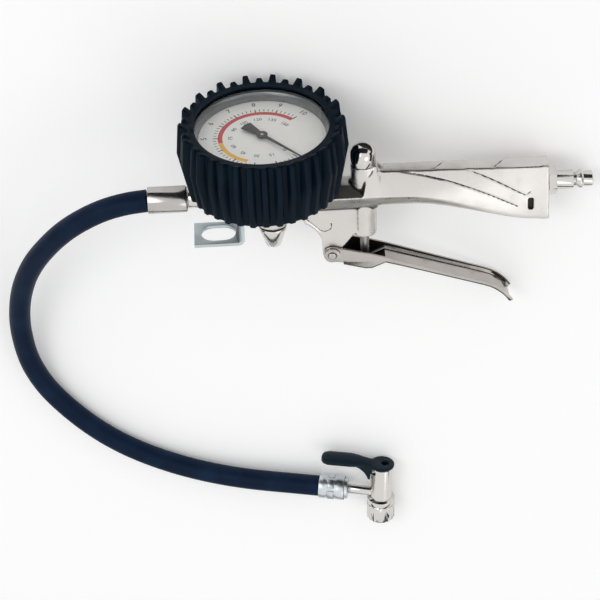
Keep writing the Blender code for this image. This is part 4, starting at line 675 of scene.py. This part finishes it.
@dataclass
class Hose:
    """The short rubber hose between the gun and the chuck, held in the bend that it was moulded in."""

    paints: Paintbox
    axes: Frame
    radius: float = 6.5 * MM
    steps: int = 8
    roundness: int = 9
    leaves: tuple[float, float, float] = (-66.9, 0.0, 0.0)
    lead: tuple[float, float, float] = (-79.1, 0.2, -1.7)
    bend: tuple[tuple[float, float, float], ...] = (
        (-159.1, 6.6, 58.9),
        (-171.9, -0.5, 58.3),
        (-184.2, -10.2, 55.6),
        (-196.1, -23.1, 50.4),
        (-208.2, -39.5, 43.1),
        (-217.5, -56.7, 35.8),
        (-224.4, -75.4, 28.4),
        (-228.7, -95.4, 21.4),
        (-229.9, -114.2, 15.7),
        (-228.6, -130.6, 11.7),
        (-224.8, -144.0, 9.2),
        (-218.8, -155.8, 7.7),
        (-209.7, -167.4, 7.0),
        (-196.9, -179.8, 6.8),
        (-181.2, -191.2, 6.8),
        (-163.5, -200.4, 6.8),
        (-142.4, -207.9, 7.0),
        (-120.1, -212.8, 7.6),
        (-94.9, -215.5, 8.5),
        (-63.0, -216.712, 9.0),
        (-50.012, -217.279, 9.0),
    )

    def route(self) -> list[Vector]:
        """The hose's middle line in metres, smoothed through its points."""
        marks = [self.axes.matrix @ (Vector(point) * MM) for point in (self.leaves, self.lead)]
        marks += [Vector(point) * MM for point in self.bend]
        padded = [2 * marks[0] - marks[1], *marks, 2 * marks[-1] - marks[-2]]
        line: list[Vector] = []
        for a, b, c, d in zip(padded, padded[1:], padded[2:], padded[3:]):
            for step in range(self.steps):
                t = step / self.steps
                line.append(self._between(a, b, c, d, t))
        return [*line, marks[-1]]

    def _between(self, a: Vector, b: Vector, c: Vector, d: Vector, t: float) -> Vector:
        """The smooth point at share t of the way from b to c."""
        pull = (c - a) * t + (2 * a - 5 * b + 4 * c - d) * t**2 + (3 * b - a - 3 * c + d) * t**3
        return b + 0.5 * pull

    def build(self, on_it: Sequence[Any]) -> bpy.types.Object:
        """Args:
            on_it: The pieces that the hose carries. Not used.

        Returns:
            The hose.
        """
        line = self.route()
        curve = bpy.data.curves.new("hose_run", "CURVE")
        curve.dimensions = "3D"
        curve.bevel_depth = self.radius
        curve.bevel_resolution = self.roundness
        curve.use_fill_caps = True
        spline = curve.splines.new("POLY")
        spline.points.add(len(line) - 1)
        for place, point in zip(spline.points, line):
            place.co = (*point, 1.0)
        spline.use_smooth = True
        curve.materials.append(self.paints.get(HOSE_RUBBER))
        hose = bpy.data.objects.new("hose_run", curve)
        bpy.context.scene.collection.objects.link(hose)
        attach(hose, Body.GUN.value)
        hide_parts("air_hose")
        length = sum((after - before).length for before, after in zip(line, line[1:]))
        2 * self.radius
        LOG.info("made hose_run, %.0f mm long", length / MM)
        return hose


@dataclass
class GunBody(Assembly):
    """The plated casting with its valve cap, plugs, hanging bracket and hose fitting."""

    paints: Paintbox
    axes: Frame
    cast_grain: float = 0.45 * MM
    cast_flow: float = 0.5
    cast_rounds: int = 3
    cast_share: float = 0.6
    hollow_rounds: int = 30
    hollow_depth: float = 0.5 * MM
    calm_rounds: int = 2
    even_rounds: int = 250
    even_turn: float = 0.06

    def build(self) -> list[bpy.types.Object]:
        """Dresses the casting and what is screwed into it, and hands back the pieces on the hose."""
        self.casting()
        self.refine("valve_cap", BRIGHT_NICKEL, Body.GUN, Edge.TURNED)
        self.refine("air_plug", TURNED_NICKEL, Body.GUN, Edge.TURNED)
        self.refine("bottom_plug", TURNED_NICKEL, Body.GUN, Edge.TURNED)
        self.refine("hang_bracket", ZINC, Body.GUN, Edge.PRESSED)
        self.refine("hose_fitting", TURNED_NICKEL, Body.GUN, Edge.TURNED)
        self.dress(SEAL_RUBBER, "plug_seal", "bottom_seal", "fitting_seal", "stem_seal")
        self.dress(SPRING_STEEL, "valve_stem")
        self.spring()
        return [self.refine("gun_ferrule", CRIMPED_NICKEL, Body.GUN, Edge.TURNED)]

    def spring(self) -> None:
        """The return spring, which shortens towards its cap as the stem rises; how much of its length stays
        is worked out, but the piece is not made to shorten.
        """
        piece = self.refine("valve_spring", SPRING_STEEL, Body.GUN, Edge.SHARP)
        up = self.axes.matrix.col[2].to_3d()
        ends = sorted((vert.co for vert in piece.data.vertices), key=up.dot)
        travel = named(frame["record"]["behaviour"]["joints"], "stem_slide")["range_m"][1]
        keep = 1.0 - travel / up.dot(ends[-1] - ends[0])
        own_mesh(piece)

    def casting(self) -> bpy.types.Object:
        """The casting, with the soft inner corners that a mould leaves."""
        piece = self.add("body_casting_finish", self.merged("body_casting"), CAST_NICKEL, Body.GUN)
        skin = piece.modifiers.new("cast_skin", "REMESH")
        skin.mode = "VOXEL"
        skin.voxel_size = self.cast_grain
        skin.use_smooth_shade = True
        flow = piece.modifiers.new("cast_flow", "SMOOTH")
        flow.factor = self.cast_flow
        flow.iterations = self.cast_rounds
        settle(piece)
        self.mark_casting(piece.data)
        thin = piece.modifiers.new("cast_thin", "DECIMATE")
        thin.ratio = self.cast_share
        settle(piece)
        even = taken(piece.data.attributes[EVEN].data, "vector", 3, np.float32)
        even /= np.linalg.norm(even, axis=1, keepdims=True)
        piece.data.normals_split_custom_set_from_vertices(even)
        piece.data.attributes.remove(piece.data.attributes[EVEN])
        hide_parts("body_casting")
        LOG.info("body_casting_finish has %d faces", len(piece.data.polygons))
        return piece

    def mark_casting(self, mesh: bpy.types.Mesh) -> None:
        """Marks the casting's hollows, which the finish darkens with painted shade, and normals even between
        the edges.

        Args:
            mesh: The casting's mesh, of close points.
        """
        ends = taken(mesh.edges, "vertices", 2, np.int32)
        points = taken(mesh.vertices, "co", 3, np.float32)
        normals = taken(mesh.vertex_normals, "vector", 3, np.float32)
        filled = spread(points, ends, np.ones(len(ends)), self.hollow_rounds)
        lift = ((filled - points) * normals).sum(axis=1) / self.hollow_depth
        mesh.attributes.new(HOLLOW, "FLOAT", "POINT").data.foreach_set("value", lift.clip(0.0, 1.0))
        calm = spread(normals, ends, np.ones(len(ends)), self.calm_rounds)
        turn = np.linalg.norm(calm[ends[:, 0]] - calm[ends[:, 1]], axis=1)
        even = spread(calm, ends, np.exp(-((turn / self.even_turn) ** 2)), self.even_rounds)
        mesh.attributes.new(EVEN, "FLOAT_VECTOR", "POINT").data.foreach_set("vector", even.ravel())


@dataclass
class SqueezeLever(Assembly):
    """The pressed channel lever on its headed pin."""

    paints: Paintbox

    def build(self) -> None:
        """Dresses the lever and its pin."""
        self.refine("trigger_lever", PRESSED_STEEL, Body.TRIGGER, Edge.PRESSED)
        self.refine("trigger_pin", PRESSED_STEEL, Body.GUN, Edge.TURNED)
        self.refine("pin_clip", SPRING_STEEL, Body.GUN, Edge.FINE)


class ScaleBand(Enum):
    """The coloured bands of the dial: finish, and from and to as shares of the scale."""

    YELLOW = (PRINT_YELLOW, 0.24, 0.46)
    RED = (PRINT_RED, 0.46, 1.0)


@dataclass
class Gauge(Assembly):
    """The dial gauge in its ribbed boot: lens, bezel, printed dial, pointer and the works behind it."""

    paints: Paintbox
    axes: Frame
    dial_top: float = 39.6 * MM
    print_lift: float = 0.06 * MM
    scale_start: float = math.radians(-47.0)
    scale_sweep: float = math.radians(270.0)
    band_radius: float = 23.5 * MM
    band_width: float = 2.6 * MM
    band_step: float = math.radians(3.0)
    band_least_steps: int = 8
    tick_radius: float = 27.4 * MM
    long_tick: float = 3.2 * MM
    short_tick: float = 1.8 * MM
    tick_width: float = 0.42 * MM
    long_tick_share: float = 1.5
    ticks: int = 50
    ticks_a_number: int = 5
    number_radius: float = 32.4 * MM
    number_size: float = 4.8 * MM
    number_step: int = 1
    inner_radius: float = 17.6 * MM
    inner_size: float = 3.4 * MM
    inner_step: int = 15
    figure_steps: int = 3

    def build(self) -> None:
        """Dresses the gauge, and prints its dial."""
        boot = self.refine("rubber_boot", BOOT_RUBBER, Body.GUN, Edge.MOULDED)
        self.refine("bezel_ring", BEZEL_GREY, Body.GUN, Edge.FINE)
        self.dress(CASE_PAINT, "gauge_case")
        self.dress(LENS, "gauge_lens")
        self.dress(DIAL_WHITE, "dial_plate")
        self.dress(POINTER_BLACK, "gauge_pointer")
        self.dress(SPRING_STEEL, "pointer_shaft")
        self.dress(BRASS, "gauge_socket", "bourdon_tube", "tube_link")
        self.dress(BRASS, "movement_base", "movement_top", "sector_gear")
        for band in ScaleBand:
            self.band(band)
        self.tick_marks()
        outer = (self.number_radius, self.number_size, self.number_step)
        inner = (self.inner_radius, self.inner_size, self.inner_step)
        self.numbers("outer_numbers", *outer, PRINT_BLACK)
        self.numbers("inner_numbers", *inner, PRINT_BLUE)

    def angle(self, share: float) -> float:
        """The angle of a share of the scale, which runs clockwise seen from the front."""
        return self.scale_start - share * self.scale_sweep

    def printed(self, name: str, bm: bmesh.types.BMesh, finish: Finish) -> bpy.types.Object:
        """Lays a flat print on the dial.

        Args:
            name: The print's name.
            bm: Its faces, in the dial's plane, in metres.
            finish: Its ink.

        Returns:
            The print.
        """
        flat = bmesh.ops.extrude_face_region(bm, geom=list(bm.faces))
        raised = [item for item in flat["geom"] if isinstance(item, bmesh.types.BMVert)]
        bmesh.ops.translate(bm, verts=raised, vec=(0.0, 0.0, self.print_lift))
        bmesh.ops.recalc_face_normals(bm, faces=bm.faces)
        bmesh.ops.translate(bm, verts=bm.verts, vec=(0.0, 0.0, self.dial_top))
        bmesh.ops.transform(bm, matrix=self.axes.matrix, verts=bm.verts)
        piece = self.add(name, bm, finish, Body.GUN)
        return piece

    def band(self, band: ScaleBand) -> None:
        """Prints a coloured band along a part of the scale."""
        finish, low, high = band.value
        bm = bmesh.new()
        radii = (self.band_radius - self.band_width / 2, self.band_radius + self.band_width / 2)
        verts = [bm.verts.new((radius, 0.0, 0.0)) for radius in radii]
        edge = bm.edges.new(verts)
        bmesh.ops.rotate(bm, verts=verts, cent=(0, 0, 0), matrix=Matrix.Rotation(self.angle(low), 3, "Z"))
        turn = self.angle(high) - self.angle(low)
        steps = max(self.band_least_steps, round(abs(turn) / self.band_step))
        arc = [*verts, edge]
        bmesh.ops.spin(bm, geom=arc, cent=(0, 0, 0), axis=(0, 0, 1), angle=turn, steps=steps)
        self.printed(f"{band.name.lower()}_band", bm, finish)

    def tick_marks(self) -> None:
        """Prints the scale's fine and long marks, outside the bands."""
        bm = bmesh.new()
        for index in range(self.ticks + 1):
            long = index % self.ticks_a_number == 0
            length = self.long_tick if long else self.short_tick
            place = Matrix.Rotation(self.angle(index / self.ticks), 4, "Z")
            place @= Matrix.Translation((self.tick_radius - length / 2, 0.0, 0.0))
            width = self.tick_width * (self.long_tick_share if long else 1.0)
            place @= Matrix.Diagonal((length, width, 1.0, 1.0))
            bmesh.ops.create_grid(bm, x_segments=1, y_segments=1, size=0.5, matrix=place)
        self.printed("tick_marks", bm, PRINT_BLACK)

    def numbers(self, name: str, radius: float, size: float, step: int, ink: Finish) -> None:
        """Prints a ring of numbers, upright on the dial.

        Args:
            name: The print's name.
            radius: The ring's radius.
            size: The figures' height.
            step: What each number adds to the one before.
            ink: Their finish.
        """
        bm = bmesh.new()
        count = self.ticks // self.ticks_a_number
        for index in range(count + 1):
            angle = self.angle(index / count)
            spot = Matrix.Translation((radius * math.cos(angle), radius * math.sin(angle), 0.0))
            self.figure(bm, str(index * step), spot @ Matrix.Rotation(self.upright(angle), 4, "Z"), size)
        self.printed(name, bm, ink)

    def upright(self, angle: float) -> float:
        """How far a figure at this angle turns so that its foot is towards the dial's middle."""
        return angle - math.pi / 2

    def figure(self, bm: bmesh.types.BMesh, text: str, place: Matrix, size: float) -> None:
        """Adds a number's flat faces to a mesh.

        Args:
            bm: The mesh.
            text: The number.
            place: Where its middle goes, in the dial's plane.
            size: Its height.
        """
        words = bpy.data.curves.new("figure", "FONT")
        words.body = text
        words.size = size
        words.align_x = "CENTER"
        words.align_y = "CENTER"
        words.resolution_u = self.figure_steps
        holder = bpy.data.objects.new("figure", words)
        mesh = holder.to_mesh()
        mesh.transform(place)
        bm.from_mesh(mesh)
        holder.to_mesh_clear()
        bpy.data.objects.remove(holder)
        bpy.data.curves.remove(words)


@dataclass
class Chuck(Assembly):
    """The lock-on chuck at the hose's end: ferrule, stem, barrel, ribbed nut, gasket and thumb lever."""

    paints: Paintbox
    tail_end: tuple[float, float, float] = (-50.012 * MM, -217.279 * MM, 9.0 * MM)
    tail_way: tuple[float, float, float] = (0.999048, -0.043619, 0.0)
    waist_within: float = 7.35 * MM
    waist_beyond: float = 7.0 * MM
    side_within: float = 0.02
    pad_faces: int = 3
    dent_faces: int = 1
    pad_height: float = 0.5 * MM

    def build(self) -> list[bpy.types.Object]:
        """Dresses the chuck, and hands back its pieces."""
        self.dress(SEAL_RUBBER, "chuck_gasket")
        self.dress(BRASS, "chuck_plunger")
        turned = ("chuck_stem", "chuck_barrel", "chuck_nut")
        pieces = [self.refine(node, TURNED_NICKEL, Body.GUN, Edge.TURNED) for node in turned]
        pieces.append(self.refine("chuck_ferrule", BRIGHT_ZINC, Body.GUN, Edge.TURNED, self.crimp))
        pieces.append(self.refine("chuck_lever_pin", PRESSED_STEEL, Body.GUN, Edge.FINE))
        pieces.append(self.refine("chuck_lever", LEVER_PLASTIC, Body.THUMB_LEVER, Edge.PRESSED))
        return pieces

    def crimp(self, bm: bmesh.types.BMesh) -> None:
        """Raises the pads between the dents that the crimping jaws leave round the ferrule's waist.

        Args:
            bm: The ferrule.
        """
        way = Vector(self.tail_way)
        side = way.cross(WORLD_UP)
        waist = [
            face
            for face in bm.faces
            if abs(face.normal.dot(way)) < self.side_within
            and self.waist_beyond < self.spoke(face).length < self.waist_within
        ]
        waist.sort(key=lambda face: math.atan2(self.spoke(face).z, self.spoke(face).dot(side)))
        LOG.info("chuck_ferrule has %d waist faces", len(waist))
        for first in range(0, len(waist), self.pad_faces + self.dent_faces):
            pad = waist[first : first + self.pad_faces]
            out = sum((self.spoke(face) for face in pad), Vector()).normalized() * self.pad_height
            raised = bmesh.ops.extrude_face_region(bm, geom=pad)["geom"]
            bmesh.ops.delete(bm, geom=[face for face in pad if face.is_valid], context="FACES_ONLY")
            verts = [item for item in raised if isinstance(item, bmesh.types.BMVert)]
            bmesh.ops.translate(bm, verts=verts, vec=out)

    def spoke(self, face: bmesh.types.BMFace) -> Vector:
        """The way from the ferrule's axis to a face."""
        way = Vector(self.tail_way)
        reach = face.calc_center_median() - Vector(self.tail_end)
        return reach - way * reach.dot(way)


class Lamp(Enum):
    """The soft lamps: place, width and power in watts."""

    KEY_LAMP = ((-0.7, 0.5, 1.4), 0.9, 3.6)
    FILL_LAMP = ((0.9, -0.5, 1.3), 0.9, 2.0)


class Card(Enum):
    """The dark cards: middle, what it faces, and width and height."""

    DIAL_SIDE_CARD = ((0.0, 0.8, 0.40), (0.0, 0.0, 0.1), (1.6, 0.8))
    FLOOR_CARD = ((0.25, 0.4425, 0.005), (0.25, 0.45, 1.0), (0.58, 0.775))
    FAR_CARD = ((0.0, -0.9, 0.12), (0.0, 0.0, 0.1), (1.8, 0.24))
    LEFT_CARD = ((-0.8, -0.1, 0.16), (0.0, -0.1, 0.1), (0.9, 0.34))
    RIGHT_CARD = ((0.75, -0.1, 0.16), (0.0, -0.1, 0.1), (0.9, 0.34))


@dataclass
class Studio:
    """A pale floor, soft lamps, dark cards for the plated metal to mirror, and the photograph's view."""

    eye: tuple[float, float, float] = (0.14019, 0.64801, 1.15799)
    aim: tuple[float, float, float] = (-0.046614, -0.040853, 0.069686)
    head_up: tuple[float, float, float] = (-0.03973, 0.87056, -0.49045)
    lens: float = 137.3
    sensor: float = 36.0
    floor_size: float = 3.0
    floor_colour: Colour = (0.96, 0.96, 0.96)
    floor_tone: float = 0.985
    floor_lift: float = 0.13
    card_colour: Colour = (0.01, 0.01, 0.01)
    sky: float = 0.74

    def build(self) -> None:
        """Sets up the floor, the light and the camera."""
        self.floor()
        self.world()
        for lamp in Lamp:
            self.lamp(lamp.name.lower(), *lamp.value)
        for card in Card:
            self.card(card.name.lower(), *card.value)
        self.camera()
        bpy.context.scene.view_settings.view_transform = "Standard"

    def floor(self) -> None:
        """Lays the floor, white to the eye where nothing shades it."""
        bm = bmesh.new()
        bmesh.ops.create_grid(bm, x_segments=2, y_segments=2, size=self.floor_size)
        mesh = bpy.data.meshes.new("floor")
        bm.to_mesh(mesh)
        bm.free()
        ground = bpy.data.objects.new("floor", mesh)
        bpy.context.scene.collection.objects.link(ground)
        sheet = Sheet("floor_white")
        mottle = sheet.noise(*FLOOR_MOTTLE)
        tone = tuple(self.floor_tone * part for part in self.floor_colour)
        mesh.materials.append(
            sheet.finish(
                Base_Color=sheet.blend(self.floor_colour, tone, mottle),
                Roughness=0.8 + 0.1 * mottle,
                Emission_Color=sheet.blend((0.0, 0.0, 0.0), (self.floor_lift,) * 3, sheet.seen()),
                Emission_Strength=1.0,
            )
        )

    def world(self) -> None:
        """Surrounds the scene with a soft sky that is white to the camera and in mirrors."""
        world = bpy.data.worlds.new("studio_sky")
        world.use_nodes = True
        sky = Nodes(world.node_tree)
        back = sky.tree.nodes["Background"]
        sky.feed(back.inputs["Color"], (1.0, 1.0, 1.0))
        sky.feed(back.inputs["Strength"], self.sky + (1.0 - self.sky) * sky.seen())
        bpy.context.scene.world = world

    def lamp(self, name: str, place: Sequence[float], size: float, power: float) -> None:
        """Hangs a soft lamp that faces the gun.

        Args:
            name: The lamp's name.
            place: Where it hangs, in metres.
            size: Its width.
            power: Its power in watts.
        """
        light = bpy.data.lights.new(name, "AREA")
        light.shape = "DISK"
        light.size = size
        light.energy = power
        lamp = bpy.data.objects.new(name, light)
        lamp.matrix_world = facing(Vector(place), Vector(self.aim), Vector(WORLD_UP))
        bpy.context.scene.collection.objects.link(lamp)

    def card(
        self, name: str, place: Sequence[float], towards: Sequence[float], size: Sequence[float]
    ) -> None:
        """Stands a black card that only the mirrors see.

        Args:
            name: The card's name.
            place: Its middle, in metres.
            towards: What it faces.
            size: Its width and height.
        """
        bm = bmesh.new()
        turn = facing(Vector(place), Vector(towards), Vector(WORLD_UP))
        spread_out = Matrix.Diagonal((*size, 1.0, 1.0))
        bmesh.ops.create_grid(bm, x_segments=1, y_segments=1, size=0.5, matrix=turn @ spread_out)
        mesh = bpy.data.meshes.new(name)
        bm.to_mesh(mesh)
        bm.free()
        card = bpy.data.objects.new(name, mesh)
        bpy.context.scene.collection.objects.link(card)
        sheet = Sheet(name)
        nap = sheet.noise(*CARD_NAP)
        mesh.materials.append(sheet.finish(Base_Color=self.card_colour, Roughness=0.9 + 0.05 * nap))
        card.visible_camera = False
        card.visible_diffuse = False
        card.visible_shadow = False

    def camera(self) -> None:
        """Sets the camera where the photograph was taken from."""
        lens = bpy.data.cameras.new("view")
        lens.lens = self.lens
        lens.sensor_width = self.sensor
        view = bpy.data.objects.new("view", lens)
        view.matrix_world = facing(Vector(self.eye), Vector(self.aim), Vector(self.head_up))
        bpy.context.scene.collection.objects.link(view)
        bpy.context.scene.camera = view


def facing(place: Vector, target: Vector, head_up: Vector) -> Matrix:
    """The place and turn of something at place whose -Z looks at target.

    Args:
        place: Where it is.
        target: What it looks at.
        head_up: Roughly the way of its +Y.

    Returns:
        Its matrix.
    """
    back = (place - target).normalized()
    right = head_up.cross(back).normalized()
    turn = Matrix((right, back.cross(right), back)).transposed().to_4x4()
    turn.translation = place
    return turn


def main() -> None:
    """Builds the studio and the sub-assemblies."""
    logging.basicConfig(level=logging.INFO, format="%(message)s")
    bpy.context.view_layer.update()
    paints = Paintbox()
    Studio().build()
    axes = gun_frame()
    on_hose = GunBody(paints, axes).build()
    on_hose += Chuck(paints).build()
    Hose(paints, axes).build([*on_hose, "chuck_gasket", "chuck_plunger"])
    SqueezeLever(paints).build()
    Gauge(paints, axes).build()


if __name__ == "__main__":
    main()
